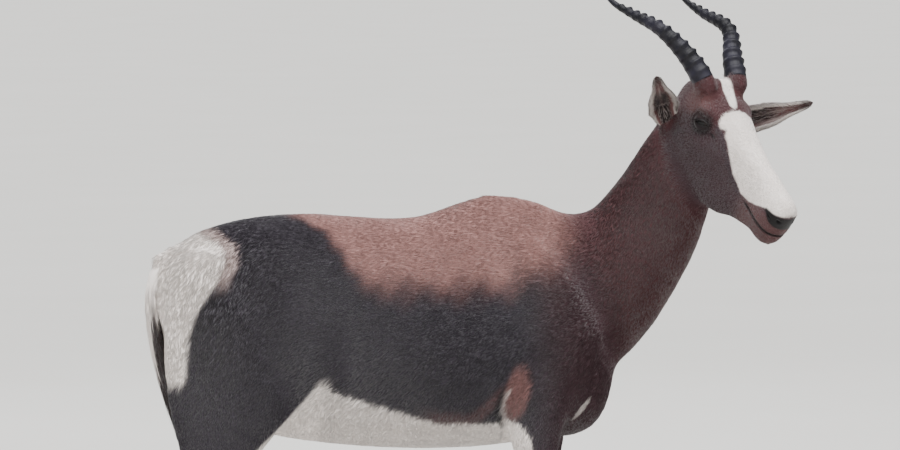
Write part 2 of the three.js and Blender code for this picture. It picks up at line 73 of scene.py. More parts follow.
NECK_FACING = np.array([264.0, 0.0, 88.0]) / np.linalg.norm([264.0, 0.0, 88.0])
NAPE_SOFT = 12
NECK_SOFT = 40
LEGS_FADE = (560, 430)
EARS = {
    "left": ([-45, 52, -41], [0.3, 0.775, 0.61], [0.85, -0.35, 0.3]),
    "right": ([-69, 40, -48], [0.1, 0.66, 0.745], [0.95, 0.25, 0]),
}
KNEE_HEIGHT = 328
HOCK_HEIGHT = 352
STEP_AHEAD = 45


def to_body(points):
    return (np.asarray(points, float) - ORIGIN) * 1000


def to_row(points):
    return np.asarray(points, float) / 1000 + ORIGIN


def to_head(body):
    return (body - HEAD_AT) @ HEAD_AXES.T


def from_head(points):
    return np.asarray(points, float) @ HEAD_AXES + HEAD_AT


def unit(vectors):
    length = np.linalg.norm(vectors, axis=-1, keepdims=True)
    return vectors / np.maximum(length, 1e-9)


def fade(value, low, high):
    share = np.clip((value - low) / (high - low), 0, 1)
    return share * share * (3 - 2 * share)


def line(value, *stops):
    """Reads a curve given as (place, value) stops."""
    places, values = zip(*stops)
    return np.interp(value, places, values)


# Camera: the photograph's view, with its own distance and lens
CAMERA_TURN = math.radians(-12)
CAMERA_TILT = math.radians(4)
CAMERA_AWAY = 9.0
LOOKS_AT = np.array([129.7, 29.7, 799.8])
FOCAL_PIXELS = 5220
PHOTO_WIDTH = 900
back = np.array([
    math.sin(CAMERA_TURN) * math.cos(CAMERA_TILT),
    -math.cos(CAMERA_TURN) * math.cos(CAMERA_TILT),
    math.sin(CAMERA_TILT),
])
camera = bpy.data.objects.new("camera", bpy.data.cameras.new("camera"))
camera.data.sensor_width = 36
camera.data.lens = camera.data.sensor_width * FOCAL_PIXELS / PHOTO_WIDTH
camera.location = Vector(to_row(LOOKS_AT) + CAMERA_AWAY * back)
camera.rotation_euler = Vector(back).to_track_quat("Z", "Y").to_euler()
bpy.context.scene.collection.objects.link(camera)
bpy.context.scene.camera = camera


# Lights: name, place in metres, width, height, watts, colour
SOFTBOXES = [
    ("key_light", (-2.2, -4.6, 3.4), 3.0, 2.2, 60, (1.0, 0.99, 0.97)),
    ("fill_light", (3.8, -3.8, 2.0), 2.4, 2.0, 22, (0.95, 0.97, 1.0)),
    ("far_light", (0.5, 4.6, 3.2), 3.0, 2.0, 70, (1.0, 1.0, 1.0)),
]
LIGHTS_AIM = Vector((0, 0, 0.7))
OVERHEAD_LEAN = (math.radians(17), math.radians(-6), 0)
SURROUND = {"Color": (0.82, 0.86, 0.92, 1), "Strength": 0.38}


def light(name, kind, **settings):
    lamp = bpy.data.lights.new(name, kind)
    for setting, value in settings.items():
        setattr(lamp, setting, value)
    holder = bpy.data.objects.new(name, lamp)
    bpy.context.scene.collection.objects.link(holder)
    return holder


for name, place, width, height, watts, colour in SOFTBOXES:
    softbox = light(name, "AREA", shape="RECTANGLE", size=width, size_y=height, energy=watts, color=colour)
    softbox.location = place
    softbox.rotation_euler = (Vector(place) - LIGHTS_AIM).to_track_quat("Z", "Y").to_euler()
overhead = light("overhead_light", "SUN", energy=6.4, angle=math.radians(75))
overhead.rotation_euler = OVERHEAD_LEAN
world = bpy.data.worlds.new("studio")
bpy.context.scene.world = world
world.use_nodes = True
for socket, value in SURROUND.items():
    world.node_tree.nodes["Background"].inputs[socket].default_value = value


def srgb(code):
    """A colour code of six digits as linear red, green, blue and alpha."""
    parts = [int(code[i:i + 2], 16) / 255 for i in (0, 2, 4)]
    return tuple(c / 12.92 if c <= 0.04045 else ((c + 0.055) / 1.055) ** 2.4 for c in parts) + (1.0,)


NOISE_ROUGHNESS = 0.55


class Value:
    """A number that varies over a surface; sums and products with it add Math nodes."""

    def __init__(self, finish, socket):
        self.finish = finish
        self.socket = socket

    def maths(self, operation, *terms):
        settings = {"operation": operation}
        node = self.finish.node("ShaderNodeMath", settings, dict(enumerate(terms)))
        return Value(self.finish, node.outputs[0])

    def __add__(self, other):
        return self.maths("ADD", self, other)

    def __sub__(self, other):
        return self.maths("SUBTRACT", self, other)

    def __mul__(self, other):
        return self.maths("MULTIPLY", self, other)

    def __truediv__(self, other):
        return self.maths("DIVIDE", self, other)

    def __pow__(self, other):
        return self.maths("POWER", self, other)

    __radd__ = __add__
    __rmul__ = __mul__

    def step(self, low, high):
        """From 0 to 1, smoothly, as the number goes from low to high."""
        node = self.finish.node(
            "ShaderNodeMapRange", {"interpolation_type": "SMOOTHSTEP"}, {"Value": self, 1: low, 2: high},
        )
        return Value(self.finish, node.outputs["Result"])


class Finish:
    """A material under construction: its nodes, and the shader they feed."""

    def __init__(self, name, **constants):
        self.material = bpy.data.materials.new(name)
        self.material.use_nodes = True
        self.tree = self.material.node_tree
        self.shader = self.tree.nodes["Principled BSDF"]
        self.set(**constants)

    def node(self, kind, settings=None, inputs=None):
        node = self.tree.nodes.new(kind)
        for name, value in (settings or {}).items():
            setattr(node, name, value)
        for socket, value in (inputs or {}).items():
            self.feed(node.inputs[socket], value)
        return node

    def feed(self, socket, value):
        source = value.socket if isinstance(value, Value) else value
        if isinstance(source, bpy.types.NodeSocket):
            self.tree.links.new(source, socket)
        else:
            socket.default_value = source

    def set(self, **sockets):
        for socket, value in sockets.items():
            self.feed(self.shader.inputs[socket.replace("_", " ")], value)
        return self

    def parts(self, name):
        """The three numbers of a vector attribute."""
        attribute = self.node("ShaderNodeAttribute", {"attribute_name": name})
        split = self.node("ShaderNodeSeparateXYZ", None, {0: attribute.outputs["Vector"]})
        return [Value(self, output) for output in split.outputs]

    def noise(self, scale, detail=3.0, stretch=(1, 1, 1)):
        place = self.node("ShaderNodeTexCoord").outputs["Object"]
        place = self.node("ShaderNodeMapping", None, {"Vector": place, "Scale": stretch}).outputs[0]
        inputs = {"Vector": place, "Scale": scale, "Detail": detail, "Roughness": NOISE_ROUGHNESS}
        return Value(self, self.node("ShaderNodeTexNoise", None, inputs).outputs[0])

    def mix(self, share, first, second):
        """One colour turning into another."""
        return self.node("ShaderNodeMix", {"data_type": "RGBA"}, {0: share, 6: first, 7: second}).outputs[2]

    def dim(self, colour, share):
        """A colour made darker or lighter by a number near 1."""
        settings = {"data_type": "RGBA", "blend_type": "MULTIPLY"}
        grey = self.node("ShaderNodeCombineXYZ", None, {0: share, 1: share, 2: share}).outputs[0]
        return self.node("ShaderNodeMix", settings, {0: 1.0, 6: colour, 7: grey}).outputs[2]

    def bump(self, height, strength, distance):
        inputs = {"Height": height, "Strength": strength, "Distance": distance}
        return self.set(Normal=self.node("ShaderNodeBump", None, inputs).outputs[0])


# Coat: its colours, its shine and how much blotches and single tufts vary it
PLUM = srgb("47282b")
# the saddle's own paler brown, lightened further by a painted sheen from light falling on the back
SHEENED_SADDLE = srgb("98716b")
SLATE = srgb("302b32")
RUST = srgb("87605c")
WHITE = srgb("f0e7e1")
BLACK = srgb("120f10")
CHEEK = srgb("403136")
COAT_LOOK = {"Roughness": 0.62, "Sheen_Weight": 0.28, "Sheen_Roughness": 0.35, "Specular_IOR_Level": 0.22}
COAT_VARIES = 0.28
STREAK_VARIES = 0.16


def coat_finish(name, bump):
    """Hair: markings read from the mesh, under fine streaks and soft blotches."""
    finish = Finish(name, **COAT_LOOK)
    white, saddle, slate = finish.parts("marks")
    rust, black, cheek = finish.parts("shades")
    tone, *_ = finish.parts("tone")
    blotch = finish.noise(9.0)
    streak = finish.noise(420.0, 2.0)
    colour = finish.mix(saddle, PLUM, SHEENED_SADDLE)
    for share, shade in ((slate, SLATE), (cheek, CHEEK), (rust, RUST), (white, WHITE), (black, BLACK)):
        colour = finish.mix(share, colour, shade)
    least = 1 - COAT_VARIES / 2
    colour = finish.dim(colour, (least + COAT_VARIES * blotch) * (least + COAT_VARIES * tone))
    finish.set(Base_Color=colour, Roughness=COAT_LOOK["Roughness"] + STREAK_VARIES * (streak - 0.5))
    if bump:
        finish.bump(streak, 0.5, bump)
    return finish.material


SKIN_FINISH = coat_finish("skin_coat", 0.0008)
COAT_FINISH = coat_finish("coat_hair", 0)


def new_object(name, mesh):
    made = bpy.data.objects.new(name, mesh)
    bpy.context.scene.collection.objects.link(made)
    return made


def piece(name, mesh, finish, slot, *nodes):
    """A piece of the model: it rides on the one body, and the solids it takes the place of are hidden."""
    mesh.materials.clear()
    mesh.materials.append(finish)
    mesh.polygons.foreach_set("use_smooth", np.ones(len(mesh.polygons), bool))
    made = new_object(name, mesh)
    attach(made, "root")
    if nodes:
        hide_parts(*nodes)


def as_mesh(bm, name):
    """The bmesh as a mesh; the bmesh is given up."""
    mesh = bpy.data.meshes.new(name)
    bm.to_mesh(mesh)
    bm.free()
    return mesh


def rows(*values):
    """Separate numbers side by side, one row for each point."""
    return np.stack(np.broadcast_arrays(*values), axis=-1)


def read(items, field, width, kind=np.float32):
    values = np.empty(len(items) * width, kind)
    items.foreach_get(field, values)
    return values.reshape(-1, width)


def write(items, field, values):
    items.foreach_set(field, np.asarray(values, np.float32).ravel())


def corners(mesh):
    return read(mesh.vertices, "co", 3).astype(float)


def set_corners(mesh, points):
    write(mesh.vertices, "co", points)
    mesh.update()


def facing(mesh):
    return read(mesh.vertex_normals, "vector", 3).astype(float)


def edge_pairs(mesh):
    return read(mesh.edges, "vertices", 2, np.int32)


def store(mesh, name, values):
    """Keeps three numbers for each corner of a mesh."""
    write(mesh.attributes.new(name, "FLOAT_VECTOR", "POINT").data, "vector", values)


def mark(mesh, marking, shading, tones=0.5, copies=1):
    """Stores the markings on a mesh; each row serves a number of corners."""
    tone = rows(tones, 0 * marking[:, 0], 0)
    for name, values in (("marks", marking), ("shades", shading), ("tone", tone)):
        store(mesh, name, np.repeat(values, copies, axis=0))


def neighbour_mean(values, pairs, count):
    total = np.empty_like(values)
    first, second = pairs.T
    for k in range(values.shape[1]):
        total[:, k] = np.bincount(first, values[second, k], len(values))
        total[:, k] += np.bincount(second, values[first, k], len(values))
    return total / count[:, None]


def smoothed(points, pairs, rounds, share):
    """Smooths the points, then gives back most of what that shrinks."""
    count = np.maximum(np.bincount(pairs.ravel(), minlength=len(points)), 1)
    share = np.broadcast_to(share, len(points))[:, None]

    def relaxed(values):
        for _ in range(rounds):
            values = values + share * (neighbour_mean(values, pairs, count) - values)
        return values

    once = relaxed(points)
    return once + relaxed(points - once)


def swollen_copy(bm, node, by):
    """Adds a node's solid to a bmesh, with its corners merged and pushed out a little."""
    part = bmesh.new()
    part.from_mesh(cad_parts[node].data)
    bmesh.ops.remove_doubles(part, verts=part.verts, dist=1e-6)
    part.normal_update()
    for vertex in part.verts:
        vertex.co += vertex.normal * by
    moved = as_mesh(part, "part")
    bm.from_mesh(moved)
    bpy.data.meshes.remove(moved)


def ball(bm, centre, size, turn=None):
    """A filling ellipsoid, centre and half sizes in the animal's millimetres."""
    axes = np.eye(3) if turn is None else turn
    matrix = Matrix.Translation(Vector(to_row(centre)))
    matrix = matrix @ Matrix(axes.T.tolist()).to_4x4() @ Matrix.Diagonal([s / 1000 for s in size] + [1])
    bmesh.ops.create_icosphere(bm, subdivisions=3, radius=1, matrix=matrix)


def applied(made):
    """A new mesh with an object's modifiers in it."""
    bpy.context.view_layer.update()
    return bpy.data.meshes.new_from_object(made.evaluated_get(bpy.context.evaluated_depsgraph_get()))


def remeshed(bm, name, voxel):
    """One closed surface round everything in the bmesh."""
    rough = new_object(name + "_rough", as_mesh(bm, name))
    modifier = rough.modifiers.new("remesh", "REMESH")
    modifier.mode = "VOXEL"
    modifier.voxel_size = voxel
    result = applied(rough)
    bpy.data.objects.remove(rough)
    result.name = name
    return result


# Where each part of the body is, from 0 to 1
def on_head(body):
    return fade((body - NAPE) @ NAPE_FACING, -NAPE_SOFT, NAPE_SOFT)


def on_neck(body):
    return fade((body - NECK_BASE) @ NECK_FACING, -NECK_SOFT, NECK_SOFT)


def on_legs(body):
    return fade(body[:, 2], *LEGS_FADE)


def pushed(points, table, share_of):
    """Points moved by swellings and hollows, alike on both sides: centre, push, and the form's shape."""
    side = np.where(points[:, 1] < 0, -1.0, 1.0)[:, None] * [0, 1, 0] + [1, 0, 1]
    moved = np.zeros_like(points)
    for centre, push, *shape in table:
        moved += share_of(points * side - centre, *shape)[:, None] * push
    return points + moved * side


def swell(offset, reach):
    return np.exp(-((offset / reach) ** 2).sum(1))


def dent(offset, half, turn):
    """A form with a clear rim: its half sizes, and its turn about the side axis in degrees."""
    x, y, z = offset.T
    angle = math.radians(turn)
    along = x * math.cos(angle) + z * math.sin(angle)
    across = z * math.cos(angle) - x * math.sin(angle)
    return fade(np.sqrt((along / half[0]) ** 2 + (y / half[1]) ** 2 + (across / half[2]) ** 2), 1.0, 0.45)


MOUTH_CORNER = 150


def mouth_seam(nose):
    """Height of the line between the lips, in the head's axes."""
    return -20.5 - 0.07 * (nose - MOUTH_CORNER)


def from_eye(head):
    """Distance of points in the head's axes from the middle of the nearer eye."""
    return np.linalg.norm(head * [1, 0, 1] + np.abs(head) * [0, 1, 0] - EYE_AT, axis=1)


# Markings: every function takes points in the animal's own millimetres
def rump_patch(body):
    x, _, z = body.T
    front = line(
        z, (540, -360), (560, -352), (633, -347), (667, -336), (695, -320), (723, -296), (752, -280),
        (779, -280), (800, -302), (830, -335),
    )
    soft = 5 + 9 * fade(z, 715, 745)
    return fade((front - x) / soft, -1, 1) * fade(z, 536, 556)


def rump_fringe(body):
    x, _, z = body.T
    front = line(z, (723, -291), (752, -274), (779, -273), (800, -294))
    return fade(np.abs(x - front), 22, 6) * fade(z, 700, 740) * fade(z, 818, 795)


def foreleg_rear(x, z):
    """From 0 behind a foreleg's rear edge to 1 ahead of it."""
    return fade(x - line(z, (414, 206), (470, 196), (510, 186), (570, 165)), -5, 3)


def belly(body):
    x, y, z = body.T
    edge = line(
        x, (-240, 400), (-218, 430), (-156, 490), (-118, 546), (-84, 526), (-33, 511), (28, 490), (82, 474),
        (135, 471), (187, 471), (225, 480), (290, 480), (400, 470),
    )
    under = fade(edge - z, -4, 5)
    foreleg = foreleg_rear(x, z) * fade(np.abs(y), 48, 58)
    # the belly is white; holding its white at 0.84 greys it, a painted shade on the underside
    return 0.84 * under * fade(x, -236, -222) * fade(290 - x, 0, 30) * (1 - foreleg)


def white_legs(body):
    x, y, z = body.T
    ahead = STEP_AHEAD * fade(620 - z, 0, 200) * (y > 0)
    x = x - ahead
    y = np.abs(y)
    fore = foreleg_rear(x, z)
    fore = fore * fade(line(z, (350, 400), (414, 310), (470, 316), (510, 322)) - x, -4, 4)
    inner_fore = fade(line(z, (330, 84), (450, 66), (560, 48)) - y, -4, 4) * fade(z, 490, 460)
    inner_fore = inner_fore * fade(line(z, (330, 276), (414, 280), (470, 292)) - x, -5, 5)
    back_fore = line(z, (330, 252), (414, 248), (445, 243), (462, 231), (470, 220), (478, 206))
    back_fore = fade(back_fore - x, -3, 3)
    low_fore = fade(KNEE_HEIGHT + 12 - z, -14, 14)
    stripe = fade(x, 268, 276) * fade(z, 100, 140) * fade(np.abs(y - 76), 13, 8)
    fore_white = np.maximum(np.maximum(inner_fore, back_fore * fade(z, 482, 474)), low_fore * (1 - stripe))
    inner_hind = fade(line(z, (380, 80), (450, 66), (560, 40)) - y, -4, 4) * fade(z, 600, 560)
    rim = line(z, (352, -302), (414, -247), (430, -233), (490, -170), (546, -128), (600, -118))
    front_hind = fade(x - rim, -4, 4) * fade(z, 560, 540)
    low_hind = fade(HOCK_HEIGHT + 14 - z, -16, 16)
    hind_stripe = fade(x, -331, -324) * fade(z, 110, 150) * fade(330 - z, 0, 30)
    hind_stripe = hind_stripe * fade(np.abs(y - 73), 12, 8)
    hind_white = np.maximum(np.maximum(inner_hind, front_hind), low_hind * (1 - hind_stripe))
    lower = fade(620 - z, 0, 40)
    return lower * (fore * fore_white + fade(-100 - x, 0, 20) * hind_white)


def nose_pad(nose, up):
    lower = line(nose, (194, 8), (206, 3), (216, -5), (231, -11))
    upper = line(nose, (194, 10), (206, 12), (216, 13), (231, 13))
    return fade(up - lower, -2, 2) * fade(upper - up, -2, 2) * fade(nose, 194, 199)


def blaze(body):
    nose, left, up = to_head(body).T
    lobe = line(
        left, (-42, 36), (-38, 26), (-34, 20), (-27, 17), (-14, 17), (0, 18), (14, 23), (28, 28), (42, 40),
    )
    side = line(
        nose, (14, 46), (24, 40), (36, 37), (44, 41), (50, 34), (64, 28), (90, 10), (104, -2), (138, -16),
        (160, -12), (178, -3), (195, 8), (206, 9), (219, 13), (228, 15),
    )
    nasal = fade(nose - lobe, -1.5, 2) * fade(up - side, -2, 2) * fade(229 - nose, -2, 3)
    middle = line(nose, (-60, 9), (-20, 6), (0, -2), (14, -5))
    half = line(nose, (-90, 4), (-70, 7), (-50, 9), (-30, 11), (-8, 10), (5, 8), (12, 4), (16, -4))
    forehead = fade(half - np.abs(left - middle), -2, 1.5) * fade(up, 20, 40) * fade(nose, -84, -70)
    return np.maximum(nasal, forehead) * on_head(body)


def marks(body):
    """White, saddle and slate, each from 0 to 1."""
    x, y, z = body.T
    wave = 5 * np.sin(x / 17 + z / 23) + 4 * np.sin(x / 7.3 - z / 11)
    away = 1 - on_neck(body)
    white = np.maximum(np.maximum(rump_patch(body), belly(body) * (1 - on_head(body))), white_legs(body))
    down_groove = 0.6 * (x - 343) + 0.8 * (z - 491)
    off_groove = 0.8 * (x - 343) - 0.6 * (z - 491)
    axilla = fade(np.hypot(down_groove / 24, off_groove / 4.5), 1.2, 0.8) * fade(np.abs(y), 36, 44)
    white = np.maximum(white, 0.34 * rump_fringe(body))
    white = np.maximum(white * away, blaze(body))
    pale_rim = line(z, (474, 205), (485, 198), (500, 193), (515, 195), (530, 203))
    pale_rim = fade(np.abs(x - pale_rim), 9, 2) * fade(np.abs(z - 503), 34, 22) * fade(np.abs(y), 50, 62)
    white = np.maximum(white, np.maximum(0.55 * axilla, 0.35 * pale_rim) * away)
    haunch_edge = line(z, (600, -60), (637, -70), (720, -57), (761, -78), (798, -101), (821, -150))
    haunch = fade(haunch_edge - x + wave, -22, 24)
    flank_edge = line(x, (-80, 745), (-40, 712), (20, 704), (200, 700), (260, 725), (300, 745))
    flank = fade(flank_edge - z + wave, -38, 46)
    shoulder = fade(x, 215, 330)
    slate = np.maximum(haunch, flank * (1 - 0.55 * shoulder)) * away
    saddle = (1 - slate) * fade(318 - x + 0.35 * (z - 780), -44, 40) * away * fade(z, 560, 700)
    return rows(white, saddle, slate)


def shades(body):
    """Rust, black and the dark of the cheeks, each from 0 to 1."""
    x, y, z = body.T
    head = on_head(body)
    face = to_head(body)
    nose, left, up = face.T
    elbow = fade(np.hypot((x - 218 - 0.14 * (z - 520)) / 24, (z - 522) / 48), 1.25, 0.7) * (1 - head)
    rim = line(x, (20, 498), (82, 478), (133, 474), (160, 492), (189, 523))
    flank_rim = 0.27 * fade(np.abs(z - rim), 24, 6) * fade(x, 30, 90) * fade(x, 196, 184)
    # painted shadow: black along the fold between the foreleg's back and the belly, where shade falls
    crease_shadow = line(z, (440, 212), (455, 204), (474, 190), (498, 184), (530, 192))
    crease_shadow = 0.7 * fade(np.abs(x - crease_shadow), 9, 3) * fade(z, 458, 470) * fade(z, 545, 515)
    crease_shadow = crease_shadow * fade(np.abs(y), 50, 62)
    # rust over the brow ridge: partly its own reddish hair, partly a painted highlight
    brow_tint_and_highlight = 0.25 * fade(np.hypot((nose + 34) / 34, (up - 38) / 26), 1.3, 0.5) * head
    muzzle = 0.3 * fade(nose, 128, 165) * fade(up, 12, -8) * head
    flank_rim = flank_rim * (1 - on_neck(body))
    rust = np.maximum.reduce([0.8 * rump_fringe(body), 0.8 * elbow, flank_rim, brow_tint_and_highlight, muzzle])
    tip = nose_pad(nose, up)
    mouth = fade(np.abs(up - mouth_seam(nose)), 4.5, 2.0) * fade(nose, 146, 158)
    # the black round each eye is partly the lids' dark skin, partly painted shade in the eye socket
    lids = fade(from_eye(face), 31, 20)
    gland = fade(np.hypot((nose - 33) / 8, (up - 18) / 3.5), 1.2, 0.7) * (np.abs(left) > 20)
    black = np.maximum.reduce([tip, 0.8 * mouth, 0.85 * lids, 0.8 * gland]) * head
    black = np.maximum(black, crease_shadow * (1 - on_neck(body)))
    cheek = head * fade(up, 46, 10) * fade(nose, -60, -20)
    edge = line(nose, (14, 44), (50, 33), (88, 10), (112, -8), (140, -15), (166, 2))
    border = fade(np.abs(up - edge + 6), 9, 4) * fade(nose, 20, 34) * fade(nose, 170, 150)
    cheek = np.maximum(cheek * 0.8, border * head)
    return rows(rust, black, cheek)


# The way the hair lies on the rump, the legs, the neck and the face
RUMP_WAY = [-0.35, 0, -1]
LEG_WAY = [-0.12, 0, -1]
NECK_WAY = [-0.42, 0.2, -0.88]
FACE_WAY = -HEAD_AXES[0] * 0.95 - HEAD_AXES[2] * 0.12


def lay_of_hair(body, normal):
    """The way the hair lies at each point, along the surface."""
    x, _, z = body.T
    rear = fade(-x, 150, 330)
    lie = rows(-1, 0 * x, -0.22 - 0.7 * fade(z, 700, 480) - 0.9 * rear)
    shares = (rear, on_legs(body), on_neck(body), on_head(body))
    for way, share in zip((RUMP_WAY, LEG_WAY, NECK_WAY, FACE_WAY), shares):
        lie = lie + share[:, None] * (way - lie)
    lie = lie - (lie * normal).sum(1)[:, None] * normal
    return unit(lie)


# Skin: one surface over the whole body, with the folds and hollows that the solids leave plain
FLESH = ["torso", "neck", "head"]
for kind in ("foreleg", "hindleg"):
    for side in SIDES:
        FLESH += [f"{kind}_upper_{side}", f"{kind}_lower_{side}"]
FLESH_SWELL = 0.0005
BODY_VOXEL = 0.006
SMOOTH_ROUNDS = 34
BODY_EASE, LEG_EASE, HEAD_EASE = 0.5, 0.16, 0.14
MOST_SUNK = 2.5
SOLE_GAP = 20

# Balls that fill the skin out: half sizes, with places along an ear or in the head's axes
EYE_BALL = 20
EAR_BALLS = [(4, 13), (14, 14)]
MUZZLE_BALLS = [([188, 0, -9], [40, 26, 42]), ([200, 0, 0], [28, 24, 24])]
DEWCLAW_BALL = [12, 11, 14]
DEWCLAW_SHIFT = [5, 0, 0]
DOCK_TALLER = 6
TAIL_DOCK = [
    (-352, 0, 752, 21), (-376, -2, 742, 19), (-387, -4, 722, 16), (-393, -6, 690, 13), (-395, -7, 660, 11),
]

BODY_FORMS = [
    ([232, 118, 640], [0, 5, 0], [52, 60, 90]),
    ([300, 100, 690], [0, 4, 0], [36, 60, 60]),
    ([262, 112, 560], [0, -4, 0], [24, 60, 40]),
    ([185, 122, 540], [0, 4, 0], [20, 60, 34]),
    ([-120, 118, 560], [0, 5, 0], [34, 60, 50]),
    ([-78, 125, 600], [0, -4, 0], [26, 60, 60]),
    ([-60, 90, 800], [0, -2, -3], [40, 60, 40]),
    ([-240, 110, 690], [0, 4, 0], [60, 60, 60]),
    ([-300, 100, 560], [0, 4, 0], [40, 60, 70]),
    ([-350, 40, 700], [-4, 4, 0], [40, 30, 70]),
    ([-385, 0, 600], [12, 0, 0], [40, 16, 90]),
    ([40, 135, 470], [0, 3, 0], [120, 60, 40]),
]
HEAD_FORMS = [
    ([-4, 46, 41], [0, 4, 5], [20, 14, 12]),
    ([28, 44, 13], [0, -3, 0], [14, 14, 12]),
    ([14, 48, -10], [0, 3, 0], [34, 14, 12]),
    ([-20, 48, -52], [0, 3, 0], [34, 20, 34]),
    ([80, 38, -30], [0, -3, 0], [34, 20, 16]),
    ([120, 34, 24], [0, -2, 0], [40, 16, 16]),
    ([196, 24, -4], [0, 3, 0], [18, 12, 12]),
    ([206, 22, -27], [0, 3, 1], [26, 12, 7]),
    ([205, 12, -46], [0, 2, -2], [20, 14, 10]),
]
HEAD_DENTS = [
    ([221, 15, 8], [-9, -4, -2], [11, 9, 5], -38),
    ([212, 24, 3], [-4, -6, 1], [8, 9, 3.4], -20),
    ([33, 44, 18], [0, -3, 0], [7, 12, 2.6], -12),
]
def mouth_groove(head):
    """Presses the line between the lips in from all round the muzzle."""
    nose, left, up = head.T
    depth = 4.5 * fade(np.abs(up - mouth_seam(nose)), 3.0, 0.6)
    depth = depth * fade(nose, MOUTH_CORNER - 6, MOUTH_CORNER + 14)
    inward = rows(-fade(nose, 205, 232), -np.sign(left) * fade(nose, 234, 215), 0)
    return head + depth[:, None] * inward


def eye_places(side):
    """Points in an eye's own axes: back to front along the lids, up, and out of the head."""
    centre = EYE_AT * [1, side, 1]
    out = EYE_FACING * [1, side, 1]
    along = unit(np.array([1.0, 0, 0]) - out[0] * out)
    up = np.cross(out, along)
    up = up * np.sign(up[2])
    turn = math.radians(EYE_SLANT)
    forward = along * math.cos(turn) + up * math.sin(turn)
    return centre, np.stack([forward, up * math.cos(turn) - along * math.sin(turn), out])


LID_HALF = 15.5
LID_OUTER = 20.2
UPPER_LID = 6.0
LOWER_LID = 4.6
EYE_SUNK = 4.5
LID_REACH = (27, 22)


def lid_line(along, upper):
    """Height of a lid over the eye's middle, at a place along it."""
    share = np.clip(1 - (along / LID_HALF) ** 2, 0, 1)
    return share * (UPPER_LID + 0.1 * along) if upper else -share * (LOWER_LID + 0.06 * along)


def open_eyes(head):
    """Raises the lids round each eyeball, and sinks the skin behind the opening."""
    for side in SIDES.values():
        centre, axes = eye_places(side)
        local = (head - centre) @ axes.T
        along, up, out = local.T
        reach = np.linalg.norm(local, axis=1)
        inside = np.minimum(lid_line(along, True) - up, up - lid_line(along, False))
        inside = np.where(np.abs(along) < LID_HALF, inside, -1)
        open_share = fade(inside, -0.2, 1.2) * (out > 0) * (reach < 30)
        raised = np.maximum(reach, LID_OUTER * fade(reach, *LID_REACH) * (out > 0))
        target = raised + open_share * (EYE_RADIUS - EYE_SUNK - raised)
        head = head + (local * (target / np.maximum(reach, 1e-6) - 1)[:, None]) @ axes
    return head


def subdivided(mesh, chosen):
    """Halves the faces whose middles are chosen."""
    bm = bmesh.new()
    bm.from_mesh(mesh)
    middles = to_body(np.array([face.calc_center_median() for face in bm.faces]))
    picked = chosen(middles)
    edges = {edge for face, wanted in zip(bm.faces, picked) if wanted for edge in face.edges}
    bmesh.ops.subdivide_edges(bm, edges=list(edges), cuts=1, use_grid_fill=True)
    bmesh.ops.triangulate(bm, faces=[face for face in bm.faces if len(face.verts) > 4])
    bm.to_mesh(mesh)
    bm.free()


FINE_EYE = 30
FINE_MUZZLE = 140


def near_features(body):
    """The faces round the eyes and on the muzzle, which are made finest."""
    head = to_head(body)
    return (on_head(body) > 0.5) & ((from_eye(head) < FINE_EYE) | (head[:, 0] > FINE_MUZZLE))


def make_skin():
    bm = bmesh.new()
    for node in FLESH:
        swollen_copy(bm, node, FLESH_SWELL)
    for side in SIDES.values():
        ball(bm, from_head(EYE_AT * [1, side, 1]), [EYE_BALL] * 3)
    for name, (root, lie, _) in EARS.items():
        for along, radius in EAR_BALLS:
            middle = (np.array(root) + along * unit(np.array(lie))) * [1, SIDES[name], 1]
            ball(bm, from_head(middle), [radius] * 3)
    for middle, size in MUZZLE_BALLS:
        ball(bm, from_head(middle), size, HEAD_AXES)
    for x, y, z, radius in TAIL_DOCK:
        ball(bm, (x, y, z), [radius, radius, radius + DOCK_TALLER])
    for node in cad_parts:
        if node.startswith("dewclaw"):
            middle = to_body(corners(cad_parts[node].data)).mean(0)
            ball(bm, middle + DEWCLAW_SHIFT, DEWCLAW_BALL)
    mesh = remeshed(bm, "skin", BODY_VOXEL)
    pairs = edge_pairs(mesh)
    body = to_body(corners(mesh))
    leg, head_share = fade(body[:, 2], 560, 380), on_head(body)
    share = BODY_EASE * (1 - leg) * (1 - head_share) + LEG_EASE * leg + HEAD_EASE * head_share * (1 - leg)
    rough, out = body, facing(mesh)
    body = smoothed(body, pairs, SMOOTH_ROUNDS, share)
    sunk = np.minimum(((body - rough) * out).sum(1) + MOST_SUNK, 0)
    body = body - neighbour_mean(sunk[:, None], pairs, np.bincount(pairs.ravel())) * out
    set_corners(mesh, to_row(body))
    subdivided(mesh, lambda middles: on_head(middles) > 0.3)
    subdivided(mesh, near_features)
    body = to_body(corners(mesh))
    body = smoothed(body, edge_pairs(mesh), 4, 0.4 * on_head(body))
    body = pushed(body, BODY_FORMS, swell)
    head_share = on_head(body)[:, None]
    head = pushed(to_head(body), HEAD_FORMS, swell)
    body = body + head_share * (from_head(head) - body)
    set_corners(mesh, to_row(body))
    body = body - facing(mesh) * COAT_DEPTH * (1 - 0.6 * head_share)
    head = open_eyes(mouth_groove(pushed(to_head(body), HEAD_DENTS, dent)))
    body = body + head_share * (from_head(head) - body)
    body[:, 2] = np.maximum(body[:, 2], SOLE_GAP)
    set_corners(mesh, to_row(body))
    return mesh


skin_mesh = make_skin()
skin_body = to_body(corners(skin_mesh))
mark(skin_mesh, marks(skin_body), shades(skin_body))
piece("skin", skin_mesh, SKIN_FINISH, "coat_neck", *FLESH)


